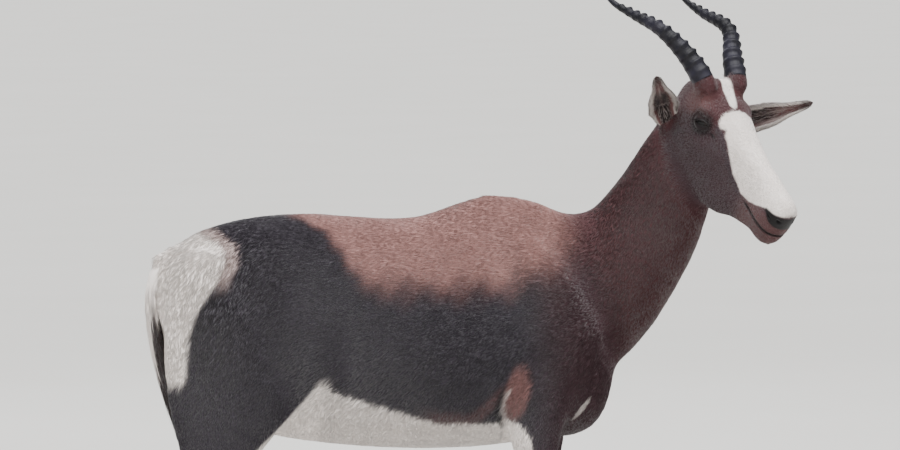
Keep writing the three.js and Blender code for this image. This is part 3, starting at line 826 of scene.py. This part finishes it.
# Hair: closed tapering strands, each with a few three-cornered rings and a tip
def strand_mesh(name, spine, across, upward, tips, sink=0.0):
    """spine is (strands, rings, 3); across and upward are each ring's half width and thickness."""
    strands, rings, _ = spine.shape
    low = spine - sink * unit(upward)
    ring = np.stack([low + across, low - across, spine + upward], axis=2)
    points = np.concatenate([ring.reshape(strands, rings * 3, 3), tips[:, None]], axis=1)
    faces = [(0, 2, 1)]
    for k in range(rings - 1):
        a, b, c = 3 * k, 3 * k + 1, 3 * k + 2
        for first, second in ((a, c), (c, b), (b, a)):
            faces += [(first, first + 3, second + 3), (first, second + 3, second)]
    a, b, c, tip = 3 * rings - 3, 3 * rings - 2, 3 * rings - 1, 3 * rings
    faces += [(a, tip, c), (c, tip, b), (b, tip, a)]
    size = 3 * rings + 1
    corner_list = (np.array(faces)[None] + size * np.arange(strands)[:, None, None]).reshape(-1, 3)
    mesh = bpy.data.meshes.new(name)
    mesh.vertices.add(strands * size)
    mesh.loops.add(corner_list.size)
    mesh.polygons.add(len(corner_list))
    write(mesh.vertices, "co", to_row(points))
    mesh.loops.foreach_set("vertex_index", corner_list.astype(np.int32).ravel())
    mesh.polygons.foreach_set("loop_start", np.arange(0, corner_list.size, 3, dtype=np.int32))
    mesh.update(calc_edges=True)
    return mesh, size, np.array(faces)


class Unwrap:
    """A light, unwrapped copy of a surface, which gives any root its place on the map."""

    def __init__(self, mesh, ratio):
        light_copy = new_object("light_copy", mesh.copy())
        light_copy.modifiers.new("fewer", "DECIMATE").ratio = ratio
        self.mesh = applied(light_copy)
        light_copy.modifiers.clear()
        light_copy.data = self.mesh
        bpy.context.view_layer.objects.active = light_copy
        light_copy.select_set(True)
        bpy.ops.object.mode_set(mode="EDIT")
        bpy.ops.mesh.select_all(action="SELECT")
        bpy.ops.mesh.quads_convert_to_tris()
        bpy.ops.uv.smart_project(angle_limit=math.radians(66), island_margin=0.004)
        bpy.ops.object.mode_set(mode="OBJECT")
        self.points = corners(self.mesh)
        self.triangles = read(self.mesh.polygons, "vertices", 3, np.int32)
        self.places = read(self.mesh.uv_layers.active.data, "uv", 2).reshape(-1, 3, 2)
        self.tree = BVHTree.FromPolygons(self.points.tolist(), self.triangles.tolist())
        bpy.data.objects.remove(light_copy)

    def at(self, row_points):
        found = [self.tree.find_nearest(point) for point in row_points.tolist()]
        face = np.array([hit[2] for hit in found])
        spot = np.array([hit[0][:] for hit in found])
        a, b, c = (self.points[self.triangles[face, k]] for k in range(3))
        normal = np.cross(b - a, c - a)
        whole = np.maximum((normal**2).sum(1), 1e-18)
        share_b = (np.cross(spot - a, c - a) * normal).sum(1) / whole
        share_c = (np.cross(b - a, spot - a) * normal).sum(1) / whole
        shares = rows(1 - share_b - share_c, share_b, share_c)
        return (self.places[face] * shares[:, :, None]).sum(1)


PATCH = 0.003
HAIR_STRAYS = 0.13
CLUMP_TURN = 0.14
CLUMP_TONE = 0.1
ROOT_SINK = 0.5
BALD_ROUND_EYE = (21.5, 20.5)


def hair_piece(name, slot, strands, unwrap, roots, marking, shading, tones):
    """Turns strands into a piece of the coat, with its markings and its places on the map."""
    mesh, size, faces = strands
    mark(mesh, marking, shading, tones, size)
    angle = 2 * np.pi * np.arange(size) / size
    patch = PATCH / 2 * rows(np.cos(angle), np.sin(angle))
    places = unwrap.at(to_row(roots))[:, None, None] + patch[faces][None]
    write(mesh.uv_layers.new(name="OFBake").data, "uv", places)
    piece(name, mesh, COAT_FINISH, slot)


def roots_on(mesh, weight, count, rng):
    """Random points of a surface, in the animal's millimetres, with their normals."""
    mesh.calc_loop_triangles()
    triangles = read(mesh.loop_triangles, "vertices", 3, np.int32)
    body = to_body(corners(mesh))
    normals = facing(mesh)
    a, b, c = (body[triangles[:, k]] for k in range(3))
    share = np.linalg.norm(np.cross(b - a, c - a), axis=1) * weight((a + b + c) / 3)
    chosen = rng.choice(len(triangles), count, p=share / share.sum())
    first, second = rng.random((2, count, 1))
    over = first + second > 1
    first, second = np.where(over, 1 - first, first), np.where(over, 1 - second, second)
    shares = np.stack([1 - first - second, first, second], axis=1)
    points = (body[triangles[chosen]] * shares).sum(1)
    return points, unit((normals[triangles[chosen]] * shares).sum(1))


# Length, half width and rise of the tip, in millimetres: on the trunk, and how the rest differs
TRUNK_HAIR = np.array([15, 0.95, 1.4])
LEGS_LESS = np.array([6, 0.3, 0.5])
NECK_LESS = np.array([2, 0.1, 0])
RUMP_MORE = np.array([0.4, 0, 0.6])
FACE_HAIR = [(-110, 9), (-40, 6.5), (60, 5.5), (160, 4), (215, 2.6)]


def hair_size(body):
    """Length, half width and rise of the tip at each root."""
    legs, neck, head = (part(body)[:, None] for part in (on_legs, on_neck, on_head))
    size = TRUNK_HAIR - LEGS_LESS * legs - NECK_LESS * neck
    face = rows(line(to_head(body)[:, 0], *FACE_HAIR), 0.5, 0.5)
    x, _, z = body.T
    rump = fade(-x, 262, 300) * fade(z, 560, 640) * fade(x, -370, -335)
    return ((size + head * (face - size)) * (1 + RUMP_MORE * rump[:, None])).T


def bare(body):
    """Where no hair grows: the nose, the lids and the eyes."""
    face = to_head(body)
    nose, _, up = face.T
    return np.maximum(nose_pad(nose, up), fade(from_eye(face), *BALD_ROUND_EYE)) * on_head(body)


def short_coat(name, slot, region, count, seed):
    rng = np.random.default_rng(seed)

    def weight(body):
        length, width, _ = hair_size(body)
        return region(body) * (1 - bare(body)) / (length * width) ** 0.7

    roots, normal = roots_on(skin_mesh, weight, count, rng)
    length, width, rise = hair_size(roots)
    x, y, z = roots.T
    clump = np.sin(x / 13 + 2 * np.sin(z / 19)) * np.sin(z / 11 + y / 17)
    angles = (rng.normal(0, HAIR_STRAYS, count) + CLUMP_TURN * clump)[:, None]
    lie = lay_of_hair(roots, normal)
    lie = lie * np.cos(angles) + np.cross(lie, normal) * np.sin(angles)
    length = (length * rng.uniform(0.7, 1.25, count))[:, None]
    rise = (rise * rng.uniform(0.55, 1.35, count))[:, None]
    width = (width * rng.uniform(0.75, 1.25, count))[:, None]
    across = np.cross(lie, normal) * width
    upward = normal * (0.35 + 0.3 * width)
    tips = roots + lie * length + normal * rise
    strands = strand_mesh(name, roots[:, None], across[:, None], upward[:, None], tips, ROOT_SINK)
    tones = 0.5 + (rng.random(count) - 0.5) * (0.6 - 0.35 * on_head(roots)) + CLUMP_TONE * clump
    hair_piece(name, slot, strands, skin_map, roots, marks(roots), shades(roots), tones)


LIGHT_COPY_SHARE = 0.05
skin_map = Unwrap(skin_mesh, LIGHT_COPY_SHARE)
COAT_SHARE = 1.0
LEGS_TOP = 430
FLANKS_TOP = 690


def off_neck(body, low, high, side=None):
    """The trunk and legs between two heights, on one side or on both."""
    height = body[:, 2]
    beside = 1 if side is None else body[:, 1] * side > 0
    return (1 - on_neck(body)) * (height > low) * (height <= high) * beside


COAT = [
    ("coat_head", "coat_head", 48000, on_head),
    ("coat_neck", "coat_neck", 46000, lambda body: on_neck(body) * (1 - on_head(body))),
    ("coat_back", "coat_saddle", 49000, lambda body: off_neck(body, FLANKS_TOP, math.inf)),
    ("coat_flank_left", "coat_dark", 49000, lambda body: off_neck(body, LEGS_TOP, FLANKS_TOP, 1)),
    ("coat_flank_right", "coat_dark", 49000, lambda body: off_neck(body, LEGS_TOP, FLANKS_TOP, -1)),
    ("coat_legs", "coat_white", 44000, lambda body: off_neck(body, -math.inf, LEGS_TOP)),
]
for seed, (name, slot, count, region) in enumerate(COAT, 1):
    short_coat(name, slot, region, int(count * COAT_SHARE), seed)


# Horns: a swept tube with raised rings that are strongest in front
HORN_AT = np.array([-35.0, 32.0, 56.0])
# Behind the horn's foot, above it and outward
HORN_LINE = [
    (4, -28, -8), (0, 0, 0), (56, 23, 17), (119, 32, 44), (188, 5, 48), (240, -12, 53), (285, -12, 50),
    (318, 0, 44),
]
HORN_RADIUS = 18
HORN_TAPER = 1.65
HORN_TIP = 0.8
HORN_STEPS = 300
HORN_CORNERS = 40
HORN_RINGS = 13
RING_HEIGHT = 3.6
FLUTE_DEPTH = 0.25
HAIRLINE = 0.17
RINGS_END = 0.79
HORN_OVAL = (0.94, 1.04)
HIDDEN_FOOT = 0.03


def curve_through(points, count):
    """Points at even steps along a smooth curve."""
    points = np.asarray(points, float)
    knots = np.concatenate([[0], np.cumsum(np.sqrt(np.linalg.norm(np.diff(points, axis=0), axis=1)))])
    slope = np.gradient(points, knots, axis=0)
    fine = np.linspace(0, knots[-1], 400)
    k = np.clip(np.searchsorted(knots, fine) - 1, 0, len(knots) - 2)
    gap = (knots[k + 1] - knots[k])[:, None]
    t = (fine[:, None] - knots[k][:, None]) / gap
    curve = (
        (2 * t**3 - 3 * t**2 + 1) * points[k] + (t**3 - 2 * t**2 + t) * gap * slope[k]
        + (3 * t**2 - 2 * t**3) * points[k + 1] + (t**3 - t**2) * gap * slope[k + 1]
    )
    along = np.concatenate([[0], np.cumsum(np.linalg.norm(np.diff(curve, axis=0), axis=1))])
    even = np.linspace(0, along[-1], count)
    return np.stack([np.interp(even, along, curve[:, axis]) for axis in range(3)], axis=1)


def circle(count):
    return np.linspace(0, 2 * np.pi, count, endpoint=False)


def rings_round(middle, across, deep, wide, high, count):
    """Rings of corners round a line of middles, with half sizes along two directions."""
    angle = circle(count)
    return (
        middle[:, None] + across[:, None] * (wide * np.cos(angle))[:, :, None]
        + deep[:, None] * (high * np.sin(angle))[:, :, None]
    )


def tube(name, rings):
    """A closed tube through rings of corners, with each corner's ring and its place on it."""
    bm = bmesh.new()
    around = bm.verts.layers.int.new("around")
    along = bm.verts.layers.int.new("along")
    current = bmesh.ops.create_circle(bm, cap_ends=True, radius=1, segments=rings.shape[1])["verts"]
    for index, vertex in enumerate(current):
        vertex[around] = index
    edges = list(bm.edges)
    for step in range(1, len(rings)):
        extruded = bmesh.ops.extrude_edge_only(bm, edges=edges)["geom"]
        edges = [item for item in extruded if isinstance(item, bmesh.types.BMEdge)]
        for vertex in extruded:
            if isinstance(vertex, bmesh.types.BMVert):
                vertex[along] = step
    for vertex in bm.verts:
        vertex.co = rings[vertex[along], vertex[around]]
    bmesh.ops.holes_fill(bm, edges=edges, sides=0)
    bmesh.ops.recalc_face_normals(bm, faces=bm.faces)
    places = np.array([(vertex[along], vertex[around]) for vertex in bm.verts])
    mesh = as_mesh(bm, name)
    for layer in ("around", "along"):
        mesh.attributes.remove(mesh.attributes[layer])
    return mesh, places


def horn_finish():
    finish = Finish("horn_keratin", Specular_IOR_Level=0.28, Coat_Weight=0.04, Coat_Roughness=0.35)
    grain = finish.noise(260.0, 4.0, (1, 1, 0.25))
    colour = finish.mix(finish.noise(24.0).step(0.35, 0.7), srgb("0e0d13"), srgb("24222e"))
    finish.set(Base_Color=finish.dim(colour, 0.8 + 0.4 * grain), Roughness=0.4 + 0.2 * grain)
    return finish.bump(grain, 0.35, 0.0006).material


HORN_FINISH = horn_finish()


def horn(name, side):
    place = np.linspace(0, 1, HORN_STEPS)
    points = [(HORN_AT + [-behind, outward, above]) * [1, side, 1] for behind, above, outward in HORN_LINE]
    middle = curve_through(points, HORN_STEPS)
    along = unit(np.gradient(middle, axis=0))
    deep = unit(np.cross(along, [0.0, 1.0, 0.0]))
    angle = circle(HORN_CORNERS)
    radius = HORN_RADIUS * (1 - np.maximum(place - HAIRLINE, 0)) ** HORN_TAPER
    radius = radius * np.minimum(1, 7 * (1 - place)) + HORN_TIP
    start = HAIRLINE - 0.02
    turn = HORN_RINGS * (place - start) / (RINGS_END - start)
    wave = 0.5 - 0.5 * np.cos(2 * np.pi * turn)
    sharp = (wave**2.2 * fade(turn, -0.5, 1.5) * fade(place, RINGS_END, RINGS_END - 0.14))[:, None]
    front = 0.5 - 0.5 * np.sin(angle)
    ridge = RING_HEIGHT * sharp * (0.2 + 0.8 * front) * (1 + 0.12 * np.sin(5 * angle))
    flute = FLUTE_DEPTH * np.sin(11 * angle) * (1 - sharp) * fade(place, 0.9, 0.5)[:, None]
    size = radius[:, None] + ridge + flute
    wide, high = (share * size for share in HORN_OVAL)
    rings = rings_round(middle, np.cross(deep, along), deep, wide, high, HORN_CORNERS)
    rings = rings[place >= HAIRLINE - HIDDEN_FOOT]
    mesh, _ = tube(name, to_row(from_head(rings)))
    piece(name, mesh, HORN_FINISH, "horn", name)


for side_name, side_sign in SIDES.items():
    horn(f"horn_{side_name}", side_sign)


# Eyes: dark, moist, with a broad level pupil
PUPIL_LONG = 7.5
PUPIL_HIGH = 3.4
IRIS_RADIUS = 12
CORNEA_RISE = 0.05


def eye_finish():
    finish = Finish("eye", Roughness=0.1, Specular_IOR_Level=0.2, Coat_Weight=0.15, Coat_Roughness=0.03)
    along, up, _ = finish.parts("eye_place")
    pupil = ((along / PUPIL_LONG) ** 2 + (up / PUPIL_HIGH) ** 2).step(1.15, 0.85)
    iris = (along**2 + up**2).step((IRIS_RADIUS + 0.5) ** 2, (IRIS_RADIUS - 0.5) ** 2)
    ring = finish.mix(finish.noise(500.0, 2.0), srgb("140b08"), srgb("281810"))
    colour = finish.mix(iris, srgb("171211"), ring)
    return finish.set(Base_Color=finish.mix(pupil, colour, srgb("070606"))).material


EYE_FINISH = eye_finish()


def eye(name, side):
    bm = bmesh.new()
    bmesh.ops.create_uvsphere(bm, u_segments=64, v_segments=40, radius=1)
    centre, axes = eye_places(side)
    local = np.array([vertex.co for vertex in bm.verts])
    cornea = 1 + CORNEA_RISE * fade(local[:, 2], 0.7, 0.86)
    local = local * EYE_RADIUS * cornea[:, None]
    for vertex, spot in zip(bm.verts, to_row(from_head(local @ axes + centre))):
        vertex.co = spot
    bmesh.ops.recalc_face_normals(bm, faces=bm.faces)
    mesh = as_mesh(bm, name)
    store(mesh, "eye_place", local)
    piece(name, mesh, EYE_FINISH, "eye", name)


for side_name, side_sign in SIDES.items():
    eye(f"eye_{side_name}", side_sign)


# Hooves and dewclaws: the solids' shapes with worn, rounded edges
FLAT_SOLE = 0.0012


def hoof_finish():
    finish = Finish("hoof_horn")
    grain = finish.noise(180.0, 4.0, (1, 1, 3))
    bands = finish.noise(40.0, 2.0, (0.2, 0.2, 4))
    finish.set(Base_Color=finish.mix(bands, srgb("1a1716"), srgb("38302c")), Roughness=0.35 + 0.25 * grain)
    return finish.bump(grain + bands, 0.4, 0.0008).material


HOOF_FINISH = hoof_finish()


def rounded(node, voxel, rounds):
    bm = bmesh.new()
    swollen_copy(bm, node, 0.0)
    mesh = remeshed(bm, node + "_worn", voxel)
    points = corners(mesh)
    floor_height = points[:, 2].min()
    points = smoothed(points, edge_pairs(mesh), rounds, 0.5)
    if node.startswith("hoof"):
        points[:, 2] = np.where(points[:, 2] < FLAT_SOLE, 0.0, points[:, 2])
    points[:, 2] = np.maximum(points[:, 2], max(floor_height, 0.0))
    set_corners(mesh, points)
    piece(node, mesh, HOOF_FINISH, "hoof", node)


for node in sorted(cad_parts):
    for kind, voxel, rounds in (("hoof", 0.0015, 5), ("dewclaw", 0.001, 4)):
        if node.startswith(kind):
            rounded(node, voxel, rounds)


# Ears: open leaves of skin, each held its own way, with pale hair along the rims
EAR_LENGTH = 174
EAR_BOW = 12
EAR_WALL = 2.4
EAR_STEPS = 90
EAR_CORNERS = 72
EAR_HALF = [
    (0, 13), (0.12, 18), (0.3, 25), (0.5, 25), (0.62, 19.5), (0.73, 14.5), (0.84, 10.5), (0.93, 7.5),
    (0.98, 4.5), (1, 1),
]
EAR_DEEP = [(0, 12), (0.12, 15), (0.3, 16), (0.5, 14), (0.62, 11), (0.73, 8), (0.84, 5.5), (0.93, 4), (1, 1)]
# Kinds of hair: number, angles round the leaf, rise, length, half width and turn over the hollow
EAR_HAIR = [
    ("ear_back", 5200, (np.pi, 2 * np.pi), 0.25, 9, 0.5, 0.0),
    ("ear_rim", 1100, (0.0, 0.4), 0.5, 15, 0.4, 0.4),
    ("ear_rim_far", 1100, (np.pi - 0.4, np.pi), 0.5, 15, 0.4, 0.4),
    ("ear_streak", 350, (0.9, np.pi - 0.9), 0.3, 14, 0.3, 0.15),
]


def ear_points(name, place, angle):
    """Points of an ear in the head's axes: place runs to the tip, angle round the leaf."""
    root, lie, opening = (np.array(value) * [1, SIDES[name], 1] for value in EARS[name])
    lie = unit(lie)
    opening = unit(opening - (opening @ lie) * lie)
    middle = root + 0.5 * EAR_LENGTH * lie + EAR_BOW * opening
    tip = root + EAR_LENGTH * lie
    t = place[..., None]
    spot = (1 - t) ** 2 * root + 2 * t * (1 - t) * middle + t**2 * tip
    tangent = unit((1 - t) * (middle - root) + t * (tip - middle))
    inward = unit(opening - (tangent @ opening)[..., None] * tangent)
    sideways = np.cross(inward, tangent)
    half, deep = line(place, *EAR_HALF), line(place, *EAR_DEEP)
    rise = np.sin(angle)
    across = np.cos(angle)
    opened = fade(place, 0.08, 0.3) * fade(1 - place, 0, 0.1)
    folds = 0.9 * np.sin(4.5 * np.pi * across) * fade(place, 0.2, 0.4) * fade(place, 0.95, 0.7)
    cup = (EAR_WALL + folds) * np.maximum(rise, 0) ** 0.6 - deep * rise
    depth = np.where(rise > 0, 0.6 * deep * rise + opened * (cup - 0.6 * deep * rise), deep * rise)
    half = half * (1 + 0.03 * np.sin(23 * place) * opened)
    return spot + sideways * (half * across)[..., None] + inward * depth[..., None]


def ear_facing(name, place, angle):
    step, turn = 0.004, 0.02
    along = ear_points(name, place + step, angle) - ear_points(name, place - step, angle)
    around = ear_points(name, place, angle + turn) - ear_points(name, place, angle - turn)
    return unit(np.cross(around, along)), unit(along)


def ear_marks(place, angle):
    """Pale rims and streaks, a dark hollow and a dark tip, brown behind."""
    across = np.cos(angle)
    inner = fade(np.sin(angle), 0.02, 0.2)
    rim = fade(np.abs(across), 0.72, 0.93) * fade(place, 0.94, 0.7)
    streak = fade(np.cos(3 * np.pi * across), 0.45, 0.95) * fade(place, 0.2, 0.35) * fade(place, 0.9, 0.6)
    white = np.maximum(0.75 * rim * (0.35 + 0.65 * inner), 0.3 * streak * inner * fade(place, 0.3, 0.6))
    behind = (1 - inner) * (1 - rim)
    tip = fade(place, 0.72, 0.96)
    hollow = inner * fade(np.abs(across), 0.75, 0.35) * fade(place, 0.72, 0.5)
    black = np.maximum(0.95 * hollow * (1 - 0.4 * streak), 0.75 * tip)
    rust = 0.3 * behind + 0.4 * inner * (1 - rim)
    return rows(white, 0, 0.35 * behind), rows(rust, black, 0.3)


def curved(name, roots, start, end, length, width, normal, rings=2):
    """Strands that leave their roots one way and end up lying another."""
    shares = np.arange(rings) / rings
    length = length[:, None]
    bend = (end - start) / 2
    spine = np.stack([roots + length * (t * start + t * t * bend) for t in shares], axis=1)
    ways = unit(np.stack([start + 2 * t * bend for t in shares], axis=1))
    across = unit(np.cross(ways, normal[:, None]))
    upward = np.cross(across, ways)
    taper = (1 - shares**1.5)[None, :, None] * width[:, None, None]
    return strand_mesh(name, spine, across * taper, upward * taper * 0.5, roots + length * (start + bend))


def ear_hair(name, leaf_map, rng, kind, count, angles, rise, length, width, inward):
    """One kind of hair: rise lifts it at its root, inward turns it over the hollow."""
    place = rng.uniform(0.06, 0.96, count * 3)
    place = place[rng.random(count * 3) < line(place, *EAR_HALF) / 25][:count]
    count = len(place)
    angle = rng.uniform(*angles, count)
    roots = ear_points(name, place, angle)
    normal, along = ear_facing(name, place, angle)
    toward = unit(ear_points(name, place, np.where(np.cos(angle) > 0, np.pi, 0.0)) - roots)
    start = unit(along * 0.8 + normal * rise + toward * inward * 0.5)
    end = unit(along + normal * 0.05 + toward * inward + rng.normal(0, 0.12, (count, 3)))
    length = length * line(place, (0, 0.8), (0.35, 1), (0.8, 0.7), (1, 0.4)) * rng.uniform(0.7, 1.2, count)
    width = width * rng.uniform(0.8, 1.2, count)
    name = f"{kind}_{name}"
    start, end, normal = (way @ HEAD_AXES for way in (start, end, normal))
    strands = curved(name, from_head(roots), start, end, length, width, normal)
    marking, shading = ear_marks(place, angle)
    if inward:
        marking[:, 0] = 0.3 if kind == "ear_streak" else 0.8
        shading[:, 1] = 0.7 * fade(place, 0.78, 0.95)
    tones = rng.uniform(0.2, 0.8, count)
    hair_piece(name, "ear_hair", strands, leaf_map, from_head(roots), marking, shading, tones)


def ear(name, seed):
    rng = np.random.default_rng(seed)
    steps, around = np.linspace(0, 1, EAR_STEPS), circle(EAR_CORNERS)
    place, angle = np.meshgrid(steps, around, indexing="ij")
    mesh, places = tube(f"leaf_{name}", to_row(from_head(ear_points(name, place, angle))))
    mark(mesh, *ear_marks(steps[places[:, 0]], around[places[:, 1]]))
    leaf_map = Unwrap(mesh, 1.0)
    piece(f"leaf_{name}", mesh, SKIN_FINISH, "ear_hair", f"ear_{name}")
    for kind in EAR_HAIR:
        ear_hair(name, leaf_map, rng, *kind)


ear("left", 21)
ear("right", 22)


# Lids: a dark rim round each eye, with lashes
LID_STEPS = 90
LID_CORNERS = 12
LID_TINT = [0.0, 0.9, 0.0]
LID_SUNK = 1.2
LASHES = 130
LASH_WIDTH = 0.3


def lid_finish():
    finish = Finish("lid_skin", Specular_IOR_Level=0.25, Coat_Weight=0.06, Coat_Roughness=0.3)
    grain = finish.noise(700.0)
    finish.set(Base_Color=finish.mix(grain, srgb("0c090a"), srgb("1c1416")), Roughness=0.4 + 0.2 * grain)
    return finish.bump(grain, 0.5, 0.0004).material


LID_FINISH = lid_finish()


def lid_places(share):
    """Round the opening: along, up and the height over the eye's middle."""
    turn = 2 * np.pi * share
    along = LID_HALF * np.cos(turn)
    up = np.where(np.sin(turn) > 0, lid_line(along, True), lid_line(along, False))
    return rows(along, up, np.sqrt(np.maximum(LID_OUTER**2 - along**2 - up**2, 1)))


def lid(name, side):
    centre, axes = eye_places(side)
    share = np.linspace(-0.01, 1.01, LID_STEPS)
    middle = lid_places(share)
    forward = unit(lid_places(share + 0.004) - lid_places(share - 0.004))
    out = unit(middle)
    thick = (1.5 + 0.5 * fade(np.sin(2 * np.pi * share), 0.0, 0.6))[:, None]
    rings = rings_round(middle - LID_SUNK * out, np.cross(forward, out), out, thick, thick, LID_CORNERS)
    mesh, _ = tube(name, to_row(from_head(rings @ axes + centre)))
    dark = np.tile(LID_TINT, (len(mesh.vertices), 1))
    mark(mesh, 0 * dark, dark)
    piece(name, mesh, LID_FINISH, "coat_head")
    return mesh


def lashes(name, side, lid_map, rng):
    centre, axes = eye_places(side)
    share = rng.uniform(0.06, 0.45, LASHES)
    roots = lid_places(share)
    out = unit(roots)
    start = unit(out + rng.normal(0, 0.12, (LASHES, 3)) + [0.1, 0.25, 0])
    end = unit(out * 0.5 + [-0.35, -0.55, 0] + rng.normal(0, 0.15, (LASHES, 3)))
    spots = from_head(roots @ axes + centre)
    start, end, across = (way @ axes @ HEAD_AXES for way in (start, end, np.cross(out, [1.0, 0, 0])))
    length, width = rng.uniform(8, 12, LASHES), np.full(LASHES, LASH_WIDTH)
    strands = curved(name, spots, start, end, length, width, across)
    dark = np.tile(LID_TINT, (LASHES, 1))
    hair_piece(name, "coat_head", strands, lid_map, spots, 0 * dark, dark, 0.3)


for side_name, side_sign in SIDES.items():
    lid_map = Unwrap(lid(f"lid_{side_name}", side_sign), 1.0)
    lashes(f"lashes_{side_name}", side_sign, lid_map, np.random.default_rng(31))


# Tail: white locks over the dock, and a long dark tuft below it
TAIL_LINE = [(-362, 0, 754), (-389, -4, 722), (-396, -7, 660), (-391, -8, 605), (-375, -8, 545)]
TAIL_SIZE = [(0, 22), (0.25, 17), (0.6, 11), (0.9, 8), (1, 4)]
TAIL_STEPS = 60
TAIL_CORNERS = 24
TAIL_TUFTS = 4200
TAIL_FLAT = 0.7
DARK_FROM = 660
HANG = np.array([0.36, -0.02, -1.0])


def white_to_black(dark, black):
    """Markings that run from white to black as dark goes from 0 to 1."""
    return rows(1 - dark, 0, 0), rows(0, black * dark, 0)


def tail():
    rng = np.random.default_rng(41)
    middle = curve_through(TAIL_LINE, TAIL_STEPS)
    along = unit(np.gradient(middle, axis=0))
    side = np.array([0.0, 1.0, 0.0])
    deep = unit(np.cross(along, side))
    size = line(np.linspace(0, 1, TAIL_STEPS), *TAIL_SIZE)[:, None] - COAT_DEPTH
    across = np.broadcast_to(side, middle.shape)
    rings = rings_round(middle, across, deep, size, TAIL_FLAT * size, TAIL_CORNERS)
    mesh, _ = tube("tail_core", to_row(rings))
    dark = fade(DARK_FROM - to_body(corners(mesh))[:, 2], 0, 40)
    mark(mesh, *white_to_black(dark, 0.9))
    core_map = Unwrap(mesh, 1.0)
    piece("tail_core", mesh, SKIN_FINISH, "tail_hair", "tail")
    count = int(TAIL_TUFTS * max(COAT_SHARE, 0.5))
    place = rng.beta(1.6, 1.1, count)
    turn = rng.uniform(0, 2 * np.pi, count)[:, None]
    last = TAIL_STEPS - 1
    k = np.minimum((place * last).astype(int), last)
    outward = side * np.cos(turn) + deep[k] * np.sin(turn)
    roots = middle[k] + outward * (size[k] * (1 - 0.3 * np.abs(np.sin(turn)))) * 0.9
    lower = along[np.minimum(k + 18, last)]
    start = unit(along[k] + lower + outward * 0.3)
    below = fade(place, 0.4, 0.7)[:, None]
    end = unit(lower * (1 - below) + HANG * below - outward * 0.1 * below + rng.normal(0, 0.04, (count, 3)))
    length = line(place, (0, 40), (0.4, 60), (0.55, 95), (1, 115)) * rng.uniform(0.75, 1.15, count)
    strands = curved("tail_hair", roots, start, end, length, rng.uniform(0.7, 1.3, count), outward, 3)
    dark_below = line(outward[:, 0], (-1, 605), (-0.8, 620), (-0.45, 692), (1, 700))
    dark = fade(dark_below - roots[:, 2] + rng.normal(0, 9, count), -8, 14)
    hair_piece(
        "tail_hair", "tail_hair", strands, core_map, roots, *white_to_black(dark, 0.75), rng.random(count),
    )


tail()


# Floor: plain and pale, wide enough to fill the view behind the animal
FLOOR_RADIUS = 60
FLOOR_CORNERS = 96
floor_finish = Finish("floor", Roughness=0.85)
floor_grain = floor_finish.noise(1.5, 2.0)
floor_finish.set(Base_Color=floor_finish.mix(floor_grain, srgb("c9c7c2"), srgb("cfcdc9")))
floor_bm = bmesh.new()
bmesh.ops.create_circle(floor_bm, cap_ends=True, radius=FLOOR_RADIUS, segments=FLOOR_CORNERS)
floor = new_object("floor", as_mesh(floor_bm, "floor"))
floor.data.materials.append(floor_finish.material)
